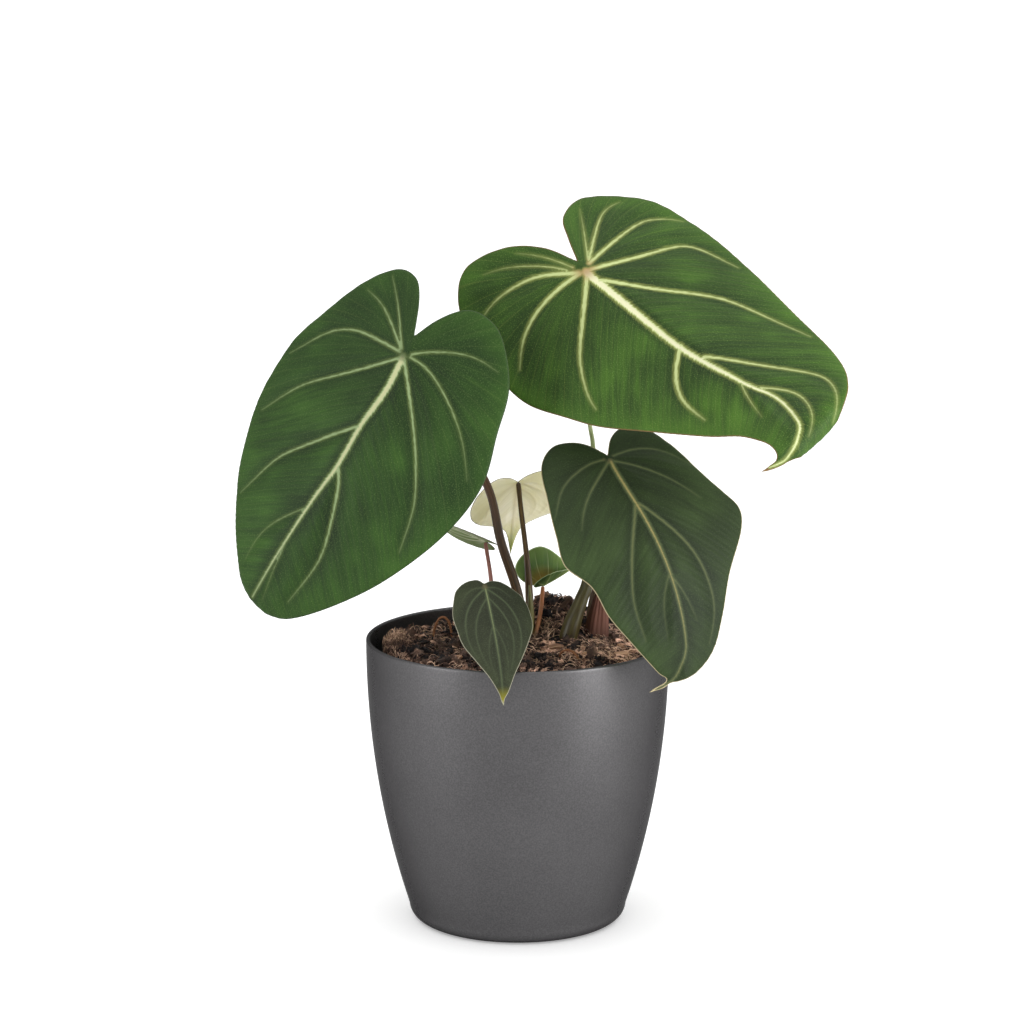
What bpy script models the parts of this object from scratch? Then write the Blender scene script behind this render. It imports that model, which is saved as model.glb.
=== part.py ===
"""A potted velvet-leaved philodendron, standing in a round tapered cover pot.

Run with blender --background --python part.py, or from Blender's text editor.
Blender works in metres; lengths below are written in millimetres and turned by MM.
The frame: the origin is the centre of the pot's base on the floor, +Z is up and the
plant's best side faces -Y. Every leaf is a thin blade with a petiole (leaf stalk) of its
own, and the petioles stand in the potting mix of a nursery pot inside the cover pot.
"""

import math

import bmesh
import bpy
import numpy as np
from mathutils import Euler, Vector

MM = 0.001
GAP = 0.3  # between pieces that touch on the real plant

# Cover pot: a moulded plastic pot with a curved taper.
POT_HEIGHT = 171.0
POT_RIM_RADIUS = 90.0
POT_FOOT_RADIUS = 62.2
POT_TAPER_POWER = 2.1
POT_WALL = 2.5
POT_FLOOR = 3.0
POT_FOOT_ROUND = 5.0
POT_SEGMENTS = 48

# Nursery pot: the thin pot that the plant grew in.
NURSERY_RIM_HEIGHT = 162.0
NURSERY_RIM_RADIUS = 80.5
NURSERY_FOOT_RADIUS = 54.0
NURSERY_WALL = 1.2

# Potting mix: level near the edge, heaped behind and to the right of the middle.
MIX_EDGE_HEIGHT = 164.0
MIX_EDGE_RADIUS = 78.6
MIX_CROWN = 3.0
MIX_HEAP_HEIGHT = 22.0
MIX_HEAP_CENTRE = (24.0, 38.0)
MIX_HEAP_SPREAD = 19.0
MIX_RINGS = 8
MIX_SEGMENTS = 40
PLANTING_DEPTH = 150.0  # height of every petiole's buried end

BLADE_THICKNESS = 0.8
PETIOLE_SIDES = 8


# ---------------------------------------------------------------- scene and materials
def clear_scene():
    for old in list(bpy.data.objects):
        bpy.data.objects.remove(old, do_unlink=True)


def make_material(name, colour, roughness, metallic=0.0):
    material = bpy.data.materials.new(name)
    material.use_nodes = True
    shader = material.node_tree.nodes["Principled BSDF"]
    shader.inputs["Base Color"].default_value = (*colour, 1.0)
    shader.inputs["Roughness"].default_value = roughness
    shader.inputs["Metallic"].default_value = metallic
    return material


def add_object(name, data, material=None):
    made = bpy.data.objects.new(name, data)
    bpy.context.scene.collection.objects.link(made)
    if material:
        data.materials.append(material)
    return made


def mesh_from(name, points, faces):
    """A mesh from points in millimetres, with its faces made to agree."""
    shape = bmesh.new()
    corners = [shape.verts.new(Vector(point) * MM) for point in points]
    for face in faces:
        shape.faces.new([corners[i] for i in face])
    bmesh.ops.recalc_face_normals(shape, faces=shape.faces)
    mesh = bpy.data.meshes.new(name)
    shape.to_mesh(mesh)
    shape.free()
    mesh.shade_smooth()
    return mesh


# ---------------------------------------------------------------- curves
def smooth_line(points, count):
    """Count points evenly spaced along a smooth curve through the given ones."""
    points = np.array(points, float)
    ends = np.vstack([2 * points[0] - points[1], points, 2 * points[-1] - points[-2]])
    steps = np.linspace(0.0, 1.0, 12, endpoint=False)
    dense = []
    for p0, p1, p2, p3 in zip(ends, ends[1:], ends[2:], ends[3:]):
        for u in steps:
            bend = (2 * p0 - 5 * p1 + 4 * p2 - p3) * u + (3 * p1 - p0 - 3 * p2 + p3) * u * u
            dense.append(p1 + 0.5 * u * (p2 - p0 + bend))
    dense = np.array(dense + [points[-1]])
    travelled = np.append(0.0, np.cumsum(np.linalg.norm(np.diff(dense, axis=0), axis=1)))
    wanted = np.linspace(0.0, travelled[-1], count)
    return np.column_stack([np.interp(wanted, travelled, axis) for axis in dense.T])


# ---------------------------------------------------------------- turned pieces
def pot_radius(height):
    """The cover pot's outside radius: steep at the rim, curving in to the foot."""
    taper = (1.0 - min(height, POT_HEIGHT) / POT_HEIGHT) ** POT_TAPER_POWER
    return POT_RIM_RADIUS - (POT_RIM_RADIUS - POT_FOOT_RADIUS) * taper


def turned(name, profile, material):
    """A profile of (radius, height) from the axis, round the outside, and back to the axis."""
    mesh = bpy.data.meshes.new(name)
    points = [Vector((radius, 0.0, height)) * MM for radius, height in profile]
    mesh.from_pydata(points, [(i, i + 1) for i in range(len(points) - 1)], [])
    piece = add_object(name, mesh, material)
    screw = piece.modifiers.new("turn", "SCREW")
    screw.angle = math.tau
    screw.steps = POT_SEGMENTS
    screw.render_steps = POT_SEGMENTS
    screw.use_merge_vertices = True
    screw.merge_threshold = 0.00001
    return piece


def make_cover_pot(material):
    inside = [(pot_radius(z) - POT_WALL, z) for z in (12, 30, 55, 80, 105, 130, 155)]
    outside = [(pot_radius(z), z) for z in (165, 145, 120, 95, 70, 45, 20, 9)]
    floor_radius = pot_radius(POT_FLOOR) - POT_WALL - 3.0
    corner = POT_FOOT_RADIUS - POT_FOOT_ROUND
    lip = [
        (POT_RIM_RADIUS - POT_WALL, POT_HEIGHT - 0.8),
        (POT_RIM_RADIUS - POT_WALL + 0.8, POT_HEIGHT),
        (POT_RIM_RADIUS - 0.8, POT_HEIGHT),
        (POT_RIM_RADIUS, POT_HEIGHT - 0.8),
    ]
    foot = [(POT_FOOT_RADIUS + 0.2, 3.6), (corner + 3.2, 0.9), (corner, 0.0), (0.0, 0.0)]
    profile = [(0.0, POT_FLOOR), (floor_radius, POT_FLOOR)] + inside + lip + outside + foot
    return turned("cover_pot", profile, material)


def make_nursery_pot(material):
    base = POT_FLOOR + GAP
    rim = (NURSERY_RIM_RADIUS, NURSERY_RIM_HEIGHT)
    profile = [
        (0.0, base + NURSERY_WALL),
        (NURSERY_FOOT_RADIUS - NURSERY_WALL, base + NURSERY_WALL),
        (rim[0] - NURSERY_WALL, rim[1]),
        rim,
        (NURSERY_FOOT_RADIUS, base),
        (0.0, base),
    ]
    return turned("nursery_pot", profile, material)


# ---------------------------------------------------------------- potting mix
def mix_height(x, y):
    """Height of the potting mix's surface above the floor."""
    crown = MIX_CROWN * (1.0 - (x * x + y * y) / MIX_EDGE_RADIUS**2)
    off_x = x - MIX_HEAP_CENTRE[0]
    off_y = y - MIX_HEAP_CENTRE[1]
    heap = math.exp(-(off_x**2 + off_y**2) / (2.0 * MIX_HEAP_SPREAD**2))
    edge = 1.0 - (math.hypot(x, y) / MIX_EDGE_RADIUS) ** 6
    return MIX_EDGE_HEIGHT + crown + MIX_HEAP_HEIGHT * heap * max(edge, 0.0)


def make_potting_mix(material):
    """One closed lump: a heaped top, and sides that follow the nursery pot."""
    points = [(0.0, 0.0, mix_height(0.0, 0.0))]
    low = POT_FLOOR + NURSERY_WALL + 2 * GAP
    low_radius = NURSERY_FOOT_RADIUS - NURSERY_WALL - 1.5 * GAP
    rings = [(MIX_EDGE_RADIUS * k / MIX_RINGS, None) for k in range(1, MIX_RINGS + 1)]
    rings += [(MIX_EDGE_RADIUS, NURSERY_RIM_HEIGHT), (low_radius, low)]
    for radius, height in rings:
        for k in range(MIX_SEGMENTS):
            angle = math.tau * k / MIX_SEGMENTS
            x = radius * math.cos(angle)
            y = radius * math.sin(angle)
            points.append((x, y, mix_height(x, y) if height is None else height))
    points.append((0.0, 0.0, low))
    faces = []
    last_ring = 1 + MIX_SEGMENTS * (len(rings) - 1)
    for k in range(MIX_SEGMENTS):
        following = (k + 1) % MIX_SEGMENTS
        faces.append((0, 1 + k, 1 + following))
        faces.append((len(points) - 1, last_ring + following, last_ring + k))
        for ring in range(len(rings) - 1):
            near = 1 + ring * MIX_SEGMENTS
            far = near + MIX_SEGMENTS
            faces.append((near + k, far + k, far + following, near + following))
    return add_object("potting_mix", mesh_from("potting_mix", points, faces), material)


def cut_from(target, cutter_mesh, name):
    """Takes a hidden cutter's shape out of a piece."""
    cutter = add_object(f"cutter_{name}", cutter_mesh)
    cutter.hide_render = True
    cutter.display_type = "WIRE"
    cut = target.modifiers.new(name, "BOOLEAN")
    cut.operation = "DIFFERENCE"
    cut.solver = "EXACT"
    cut.object = cutter
    return cutter


def thicken(piece, thickness):
    shell = piece.modifiers.new("thickness", "SOLIDIFY")
    shell.thickness = thickness * MM
    shell.offset = 0.0


# ---------------------------------------------------------------- stalks
def stalk_curve(name, route, radii, grow=0.0):
    """A tapering round stalk; radii are given at the route's points, grow fattens it."""
    count = 4 * (len(route) - 1) + 1
    line = smooth_line(route, count)
    along = np.linspace(0.0, 1.0, count)
    widths = np.interp(along, np.linspace(0.0, 1.0, len(radii)), radii) + grow
    curve = bpy.data.curves.new(name, "CURVE")
    curve.dimensions = "3D"
    curve.bevel_depth = MM
    curve.bevel_resolution = PETIOLE_SIDES // 4
    curve.use_fill_caps = True
    spline = curve.splines.new("POLY")
    spline.points.add(count - 1)
    for point, place, width in zip(spline.points, line, widths):
        point.co = (*(place * MM), 1.0)
        point.radius = width
    return curve


def lengthened(route):
    """The route with both ends carried on by the gap."""
    points = [Vector(point) for point in route]
    first = points[0] + (points[0] - points[1]).normalized() * GAP
    last = points[-1] + (points[-1] - points[-2]).normalized() * GAP
    return [first] + points[1:-1] + [last]


def plant_stalk(name, route, radii, material, mix):
    """A stalk or root in the potting mix, with its hole in the mix."""
    add_object(name, stalk_curve(name, route, radii), material)
    guide = add_object(f"guide_{name}", stalk_curve(name, lengthened(route), radii, GAP))
    bpy.context.view_layer.update()
    evaluated = guide.evaluated_get(bpy.context.evaluated_depsgraph_get())
    hole = bpy.data.meshes.new_from_object(evaluated)
    bpy.data.objects.remove(guide, do_unlink=True)
    shape = bmesh.new()
    shape.from_mesh(hole)
    bmesh.ops.remove_doubles(shape, verts=shape.verts, dist=0.00001)
    bmesh.ops.recalc_face_normals(shape, faces=shape.faces)
    shape.to_mesh(hole)
    shape.free()
    cut_from(mix, hole, name)


# ---------------------------------------------------------------- leaf blades
# A blade is laid out flat first, in millimetres: s runs along the midrib from the point
# where the petiole joins, positive to the tip, and t runs across it. It is then bent:
# arch and sway curve the midrib down and sideways (degrees in 100 mm), hook bends the
# tip, fold is each half's slope at the midrib and curl is how fast that slope grows.
DRIP_TIPPED = [
    (0.0, 0.0), (-0.09, 0.2), (-0.14, 0.5), (-0.06, 0.82), (0.1, 1.0), (0.28, 0.98), (0.42, 0.78),
    (0.53, 0.45), (0.63, 0.2), (0.76, 0.09), (1.0, 0.0),
]


def drip_tipped(length, half_width):
    """Both halves of a young blade's outline: full shoulders and a long narrow tip."""
    half = [(s * length, t * half_width) for s, t in DRIP_TIPPED]
    return half, [(s, -t) for s, t in half]


BLADES = {
    "leaf_top": {
        "at": (39, 0, 390), "turn": (-36, 24, 43), "arch": -10, "sway": -10,
        "hook": 1200, "hook_at": 174, "fold": (11, 14), "curl": (16, 10), "middle": 45,
        "outline": (
            [(-8, 2), (-24, 12), (-37, 22), (-42, 38), (-37, 50), (-25, 63), (-8, 73), (18, 75),
             (60, 69), (109, 60), (152, 55), (172, 47), (188, 34), (202, 16), (204, -6), (203, -20)],
            [(-8, 2), (-30, -2), (-48, -12), (-61, -28), (-64, -42), (-55, -57), (-36, -71),
             (-9, -80), (22, -84), (52, -77), (80, -68), (112, -52), (145, -34), (175, -17),
             (198, -13), (203, -20)],
        ),
    },
    "leaf_left": {
        "at": (-65, -45, 347), "turn": (-157, 56, -44), "arch": 18, "sway": -9,
        "fold": (11, 14), "curl": (11, 6), "middle": 42,
        "outline": (
            [(-12, 0), (-27, 7), (-39, 17), (-42, 29), (-36, 44), (-14, 62), (12, 70), (40, 78),
             (72, 75), (112, 61), (146, 43), (169, 27), (178, 12), (177, 1)],
            [(-12, 0), (-28, -8), (-41, -19), (-43, -33), (-34, -46), (-16, -59), (18, -74),
             (45, -77), (85, -73), (123, -58), (148, -39), (168, -18), (177, 1)],
        ),
    },
    "leaf_right": {
        "at": (52, -35, 285), "turn": (-50, 32, 17), "arch": 41, "sway": -10,
        "fold": (6, 13), "curl": (3, 3), "middle": 30,
        "outline": (
            [(-2, 1), (-13, 11), (-18, 23), (-14, 35), (4, 42), (28, 48), (42, 55), (54, 61),
             (66, 57), (88, 40), (110, 30), (128, 21), (140, 8), (144, -8)],
            [(-2, 1), (-16, -6), (-24, -16), (-24, -26), (-14, -37), (11, -47), (34, -53),
             (56, -56), (76, -46), (98, -41), (118, -30), (136, -17), (144, -8)],
        ),
    },
    "leaf_front": {
        "at": (-19, -57, 214), "turn": (-76, 39, 1), "arch": 12, "sway": -4,
        "fold": (8, 6), "curl": (9, 9), "middle": 18,
        "outline": (
            [(-2, 0), (-4, 5), (-3, 11), (2, 17), (9, 22), (18, 24), (28, 24), (38, 20), (50, 14),
             (61, 8), (72, 3), (81, -1)],
            [(-2, 0), (-5, -4), (-4, -11), (1, -17), (9, -20), (19, -22), (29, -21), (40, -19),
             (52, -13), (63, -7), (73, -3), (81, -1)],
        ),
    },
    "leaf_back": {
        "at": (0, 25, 260), "turn": (99, 53, -13), "arch": 10,
        "fold": (10, 14), "curl": (20, 20), "middle": 14, "outline": drip_tipped(62, 32),
    },
    "leaf_side": {
        "at": (-19, 9, 227), "turn": (177, -24, 24), "arch": 15,
        "fold": (8, 8), "curl": (15, 15), "middle": 12, "outline": drip_tipped(52, 16),
    },
    "leaf_young": {
        "at": (15, 28, 196), "turn": (29, -18, 14), "arch": -60,
        "fold": (-60, -50), "curl": (-60, -60), "middle": 4,
        "outline": (
            [(0, 0), (-7, 3), (-12, 9), (-13, 16), (-8, 21), (0, 23), (9, 22), (15, 17), (19, 9), (22, 0)],
            [(0, 0), (-5, -2), (-8, -6), (-6, -11), (1, -13), (8, -11), (15, -6), (22, 0)],
        ),
    },
}
SPOKES = {"leaf_top": 22, "leaf_left": 22, "leaf_right": 20}
RINGS = {"leaf_top": 5, "leaf_left": 5, "leaf_right": 5}


class Bend:
    """Where the flat blade's points come to lie once it is bent, in the blade's own frame."""

    STEP = 1.0

    def __init__(self, blade):
        self.blade = blade
        stations = np.arange(-90.0, 231.0, self.STEP)
        ahead = np.clip(stations, 0.0, None)
        past = np.clip(stations - blade.get("hook_at", 1000.0), 0.0, None)
        down = np.radians(blade.get("arch", 0) * ahead / 100.0 + blade.get("hook", 0) * past**2 / 10000.0)
        side = np.radians(blade.get("sway", 0) * ahead / 100.0)
        along = np.column_stack([np.cos(down) * np.cos(side), np.sin(side), -np.sin(down) * np.cos(side)])
        over = np.column_stack([np.sin(down), np.zeros_like(down), np.cos(down)])
        across = np.cross(over, along)
        across /= np.linalg.norm(across, axis=1)[:, None]
        walk = np.cumsum((along[1:] + along[:-1]) * 0.5 * self.STEP, axis=0)
        centre = np.vstack([np.zeros(3), walk])
        self.stations = stations
        self.centre = centre - centre[int(90.0 / self.STEP)]
        self.across = across
        self.up = np.cross(along, across)

    def at(self, table, s):
        return np.array([np.interp(s, self.stations, column) for column in table.T])

    def place(self, s, t):
        half = 0 if t >= 0 else 1
        fold = math.radians(self.blade["fold"][half])
        curl = math.radians(self.blade["curl"][half]) / 100.0
        slope = fold + curl * abs(t)
        outward = (math.sin(slope) - math.sin(fold)) / curl
        drop = (math.cos(fold) - math.cos(slope)) / curl
        out = self.at(self.across, s) * math.copysign(outward, t)
        return self.at(self.centre, s) + out - self.at(self.up, s) * drop


def make_blade(name, material):
    """Spokes and rings inside the outline, bent to shape and thickened to a closed solid."""
    blade = BLADES[name]
    bend = Bend(blade)
    spokes = SPOKES.get(name, 14)
    rings = RINGS.get(name, 3)
    halves = [smooth_line(half, spokes + 1) for half in blade["outline"]]
    rim = list(halves[0]) + list(halves[1][-2:0:-1])
    middle = np.array([blade["middle"], 0.0])
    points = [bend.place(*middle)]
    for ring in range(1, rings + 1):
        points += [bend.place(*(middle + (corner - middle) * ring / rings)) for corner in rim]
    faces = []
    size = len(rim)
    for k in range(size):
        following = (k + 1) % size
        faces.append((0, 1 + following, 1 + k))
        for ring in range(rings - 1):
            near = 1 + ring * size
            far = near + size
            faces.append((near + k, near + following, far + following, far + k))
    piece = add_object(name, mesh_from(name, points, faces), material)
    yaw, pitch, roll = (math.radians(angle) for angle in blade["turn"])
    piece.rotation_euler = Euler((roll, pitch, yaw))
    piece.location = Vector(blade["at"]) * MM
    thicken(piece, BLADE_THICKNESS)


def underside(name, distance=1.9):
    """A point just under the place where a blade's petiole joins."""
    blade = BLADES[name]
    yaw, pitch, roll = (math.radians(angle) for angle in blade["turn"])
    up = Euler((roll, pitch, yaw)).to_matrix() @ Vector((0.0, 0.0, 1.0))
    return tuple(Vector(blade["at"]) - up * distance)


# Each petiole's route from the mix to its blade, and its radii from the base up.
PETIOLES = {
    "petiole_top": ([(26, 1, PLANTING_DEPTH), (31, 2, 174), (37.5, 3.5, 192), (42, 5, 206), (46, 6, 245),
                     (45, 5, 284), (41.5, 6, 297), (37, 7, 340), underside("leaf_top")],
                    (5.7, 5.3, 4.0, 3.5, 2.3, 1.4, 1.3, 1.4, 1.6)),
    "petiole_left": ([(6, -3, PLANTING_DEPTH), (1, 2, 192), (-10, -3, 229), (-18, -10, 264),
                      (-41, -26, 308), underside("leaf_left")], (3.2, 2.9, 2.7, 2.4, 2.0, 1.8)),
    "petiole_right": ([(42, 22, PLANTING_DEPTH), (45, 20, 186), (53, 9, 222), (58, -10, 256),
                       underside("leaf_right")], (3.2, 2.9, 2.4, 2.0, 1.7)),
    "petiole_front": ([(-5, -3, PLANTING_DEPTH), (-8, -8, 181), (-13, -27, 206),
                       underside("leaf_front")], (1.8, 1.6, 1.3, 1.0)),
    "petiole_back": ([(9, 13, PLANTING_DEPTH), (7, 11, 190), (5.5, 9, 215), (2, 15, 244),
                      underside("leaf_back")], (2.4, 2.4, 1.7, 1.5, 1.3)),
    "petiole_side": ([(-13, 3, PLANTING_DEPTH), (-15, 2, 185), (-16, 2, 206),
                      underside("leaf_side", 1.4)], (1.4, 1.2, 1.0, 0.8)),
    "petiole_young": ([(11.5, -3.5, PLANTING_DEPTH), (10, 2.5, 168), (12.4, 10, 177), (14.2, 19, 186),
                       underside("leaf_young")], (1.5, 1.5, 1.3, 1.3, 1.1)),
    "new_leaf_spear": ([(5, 7, PLANTING_DEPTH), (7.5, 5, 176), (7.5, 4.5, 190), (6.8, 4.5, 201)],
                       (2.2, 2.1, 1.6, 0.4)),
}


# ---------------------------------------------------------------- papery sheath
SHEATH_THICKNESS = 0.6


def sheath_mesh(name, grow=0.0):
    """A tongue of dry skin, curled round the thickest petiole and narrowing upwards."""
    columns = 7
    rows = 6
    points = []
    for row in range(rows):
        up = row / (rows - 1)
        for column in range(columns):
            across = column / (columns - 1) - 0.5
            reach = 8.0 - 5.0 * up**2 + grow
            x = 45.5 + 4.0 * up + 2.0 * across * reach
            y = 8.0 + 14.0 * across * across - 2.0 * up
            z = 158.0 - grow + (40.0 + 2 * grow) * up - 6.0 * across * across * up
            points.append((x, y, z))
    faces = []
    for row in range(rows - 1):
        for column in range(columns - 1):
            corner = row * columns + column
            faces.append((corner, corner + 1, corner + columns + 1, corner + columns))
    return mesh_from(name, points, faces)


def make_cataphyll(material, mix):
    sheath = add_object("cataphyll", sheath_mesh("cataphyll"), material)
    thicken(sheath, SHEATH_THICKNESS)
    cutter = cut_from(mix, sheath_mesh("hole_cataphyll", GAP), "cataphyll")
    thicken(cutter, SHEATH_THICKNESS + 2 * GAP)


# ---------------------------------------------------------------- husk chips and roots
# Each chip: where it lies on the mix, its length, width and thickness, and its turns.
CHIPS = [
    ((20, -17), (16, 7, 3.4), (8, -6, 12)),
    ((44, -31), (15, 8, 3.6), (-10, 8, -32)),
    ((58, -27), (17, 7, 3.2), (6, -8, 24)),
    ((63, -6), (12, 8, 4.0), (14, 6, 70)),
    ((28, 27), (13, 6, 3.0), (20, -48, 15)),
    ((-38, -34), (14, 6, 3.0), (6, 5, 150)),
]


def chip_mesh(name, size, grow=0.0):
    """A split piece of husk: a block with pinched ends."""
    length, width, thickness = (side / 2.0 + grow for side in size)
    points = []
    for s, pinch in ((-1.0, 0.45), (-0.45, 1.0), (0.5, 0.9), (1.0, 0.35)):
        for across, up in ((-1, -1), (1, -1), (1, 1), (-1, 1)):
            points.append((s * length, across * width * pinch, up * thickness * pinch))
    faces = [(3, 2, 1, 0), (12, 13, 14, 15)]
    for station in range(0, 12, 4):
        for k in range(4):
            following = (k + 1) % 4
            faces.append((station + k, station + following, station + 4 + following, station + 4 + k))
    return mesh_from(name, points, faces)


def make_chip(number, material, mix):
    (x, y), size, turns = CHIPS[number]
    name = f"husk_chip_{number + 1}"
    chip = add_object(name, chip_mesh(name, size), material)
    hole = cut_from(mix, chip_mesh(f"hole_{name}", size, GAP), name)
    for piece in (chip, hole):
        piece.location = Vector((x, y, mix_height(x, y) + 0.6)) * MM
        piece.rotation_euler = Euler([math.radians(turn) for turn in turns])
    return chip


ROOT_RADIUS = 0.9
ROOTS = {
    "surface_root_1": [(-50, 22, 158), (-50, 21, 170), (-46, 19, 178), (-41, 18, 175), (-38, 18, 158)],
    "surface_root_2": [(36, -44, 158), (35, -43, 168), (30, -40, 172), (25, -36, 169), (23, -34, 158)],
}


# ---------------------------------------------------------------- the whole plant
def build():
    clear_scene()
    leaf_green = make_material("velvet_leaf", (0.035, 0.13, 0.02), 0.6)
    small_leaf = make_material("small_leaf", (0.035, 0.06, 0.03), 0.6)
    stalk_brown = make_material("brown_stalk", (0.07, 0.035, 0.022), 0.5)
    stalk_olive = make_material("olive_stalk", (0.12, 0.12, 0.045), 0.5)
    shoot_green = make_material("shoot", (0.16, 0.2, 0.04), 0.45)
    paper_brown = make_material("papery_sheath", (0.22, 0.09, 0.06), 0.75)
    pot_grey = make_material("cover_pot_plastic", (0.105, 0.105, 0.115), 0.42)
    pot_black = make_material("nursery_pot_plastic", (0.02, 0.018, 0.016), 0.6)
    soil = make_material("coir_mix", (0.08, 0.035, 0.018), 0.95)
    husk = make_material("husk", (0.3, 0.16, 0.07), 0.85)
    make_cover_pot(pot_grey)
    make_nursery_pot(pot_black)
    mix = make_potting_mix(soil)
    for name in BLADES:
        make_blade(name, leaf_green if name in SPOKES else small_leaf)
    stalk_materials = {"petiole_top": stalk_olive, "new_leaf_spear": shoot_green}
    for name, (route, radii) in PETIOLES.items():
        plant_stalk(name, route, radii, stalk_materials.get(name, stalk_brown), mix)
    make_cataphyll(paper_brown, mix)
    for number in range(len(CHIPS)):
        make_chip(number, husk, mix)
    for name, route in ROOTS.items():
        plant_stalk(name, route, (ROOT_RADIUS, ROOT_RADIUS), husk, mix)


build()
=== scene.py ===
# %% [markdown]
# # A potted philodendron with velvet leaves
#
# This lesson dresses a finished design model of a house plant: three large heart-shaped
# velvet leaves, four small ones, their stalks, the potting mix, a black nursery pot and
# the grey cover pot around it. The design model (the CAD) says where everything is. It is
# plain and faceted, so each piece is made again here, finely, in the same place, and gets
# a material worked out from what the real one is.
#
# The plant's lengths are written in millimetres and turned into Blender's metres at the
# very end, when a mesh is made. The camera, the studio and the depths that shaders take are
# in metres.
# The origin is on the floor under the middle of the pot, Z points up, and the plant's best
# side faces -Y.

# %% Load the fixed frame
import math

import bpy
import numpy as np
from mathutils import Euler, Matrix, Vector, geometry, noise


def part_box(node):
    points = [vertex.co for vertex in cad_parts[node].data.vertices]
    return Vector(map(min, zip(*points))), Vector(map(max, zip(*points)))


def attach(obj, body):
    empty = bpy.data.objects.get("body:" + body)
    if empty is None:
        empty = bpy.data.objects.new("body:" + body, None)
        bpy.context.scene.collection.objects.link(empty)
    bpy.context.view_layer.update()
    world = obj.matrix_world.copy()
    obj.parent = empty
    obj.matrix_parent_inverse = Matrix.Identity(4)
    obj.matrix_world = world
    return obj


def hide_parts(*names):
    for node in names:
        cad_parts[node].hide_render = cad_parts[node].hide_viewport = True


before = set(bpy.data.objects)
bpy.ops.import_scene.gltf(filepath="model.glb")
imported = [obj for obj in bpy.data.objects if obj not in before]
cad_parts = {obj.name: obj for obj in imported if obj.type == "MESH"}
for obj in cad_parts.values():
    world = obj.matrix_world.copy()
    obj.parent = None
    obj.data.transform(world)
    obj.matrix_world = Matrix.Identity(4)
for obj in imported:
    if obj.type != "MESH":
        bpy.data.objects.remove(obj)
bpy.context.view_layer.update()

MM = 0.001

# %% [markdown]
# ## The camera
#
# A product view: two metres in front of the pot, a little above the leaves, looking 11
# degrees down, with a long lens so that nothing looks stretched. The camera comes first,
# because every later step is judged through it.

# %% Camera
pot_low, pot_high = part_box("cover_pot")
CAMERA_DISTANCE = 2.0
CAMERA_HEIGHT = 0.640
CAMERA_ASIDE = -0.0034
CAMERA_PITCH = 11.14
CAMERA_LENS = 121.6
SENSOR_WIDTH = 36.0
camera = bpy.data.objects.new("camera", bpy.data.cameras.new("camera"))
bpy.context.scene.collection.objects.link(camera)
bpy.context.scene.camera = camera
camera.data.lens = CAMERA_LENS
camera.data.sensor_width = SENSOR_WIDTH
pot_middle = (pot_low.x + pot_high.x) / 2
camera.location = (pot_middle + CAMERA_ASIDE, -CAMERA_DISTANCE, CAMERA_HEIGHT)
camera.rotation_euler = (math.radians(90.0 - CAMERA_PITCH), 0.0, 0.0)
print("camera looks from", [round(side, 3) for side in camera.location])

# %% [markdown]
# ## Colours and nodes
#
# Hex colours are sRGB, the way a screen shows them, and Blender's sockets want linear
# light, so one function turns them. A second function adds any node: its settings are
# keywords, a plain value goes onto its socket, and a socket given as the value is linked.
# That is all the node editing this file needs, so materials read as a list of layers.

# %% Colour and node helpers
def linear(hex_colour):
    """An sRGB colour such as '#47652c' as linear red, green, blue and an alpha of 1."""
    shares = [int(hex_colour[i : i + 2], 16) / 255.0 for i in (1, 3, 5)]
    return (*[c / 12.92 if c <= 0.04045 else ((c + 0.055) / 1.055) ** 2.4 for c in shares], 1.0)


def fill(material, node, inputs):
    """Sets a node's sockets: a socket as the value is linked, anything else is a plain value."""
    for name, value in inputs.items():
        if isinstance(value, bpy.types.NodeSocket):
            material.node_tree.links.new(value, node.inputs[name])
        else:
            node.inputs[name].default_value = value


def add_node(material, kind, inputs=None, stops=(), **settings):
    """Adds a node with its settings, its inputs and, on a colour ramp, its stops."""
    node = material.node_tree.nodes.new(kind)
    for setting, value in settings.items():
        setattr(node, setting, value)
    fill(material, node, inputs or {})
    if stops:
        elements = node.color_ramp.elements
        elements[0].position = stops[0][0]
        elements[1].position = stops[-1][0]
        for place, _ in stops[1:-1]:
            elements.new(place)
        for element, (_, colour) in zip(elements, stops):
            element.color = linear(colour)
    return node


def new_material(name, surface):
    """A material, and its Principled shader with these plain values."""
    material = bpy.data.materials.new(name)
    material.use_nodes = True
    shader = material.node_tree.nodes["Principled BSDF"]
    fill(material, shader, surface)
    return material, shader


# A Mix node's colour sockets share their names, so they are reached by number.
FACTOR, FIRST, SECOND, MIXED = 0, 6, 7, 2
print("mid green in linear light:", [round(c, 3) for c in linear("#47652c")])

# %% [markdown]
# ## The studio
#
# Catalogue light: a light table and softboxes. The floor is a very large sheet of white
# acrylic with some light of its own, which is how such pictures get a pure white ground
# that still takes a soft contact shadow. The ceiling is bright and the walls are dim, so
# that the pot's sides stay dark. A large softbox on the right draws the broad highlight
# down the pot, a weaker one on the left a second, and a third hangs overhead. They light
# the plant and not the floor. Where the floor ends the camera sees a white backdrop, which
# lights nothing. "Standard" keeps colours as they are.

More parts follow.
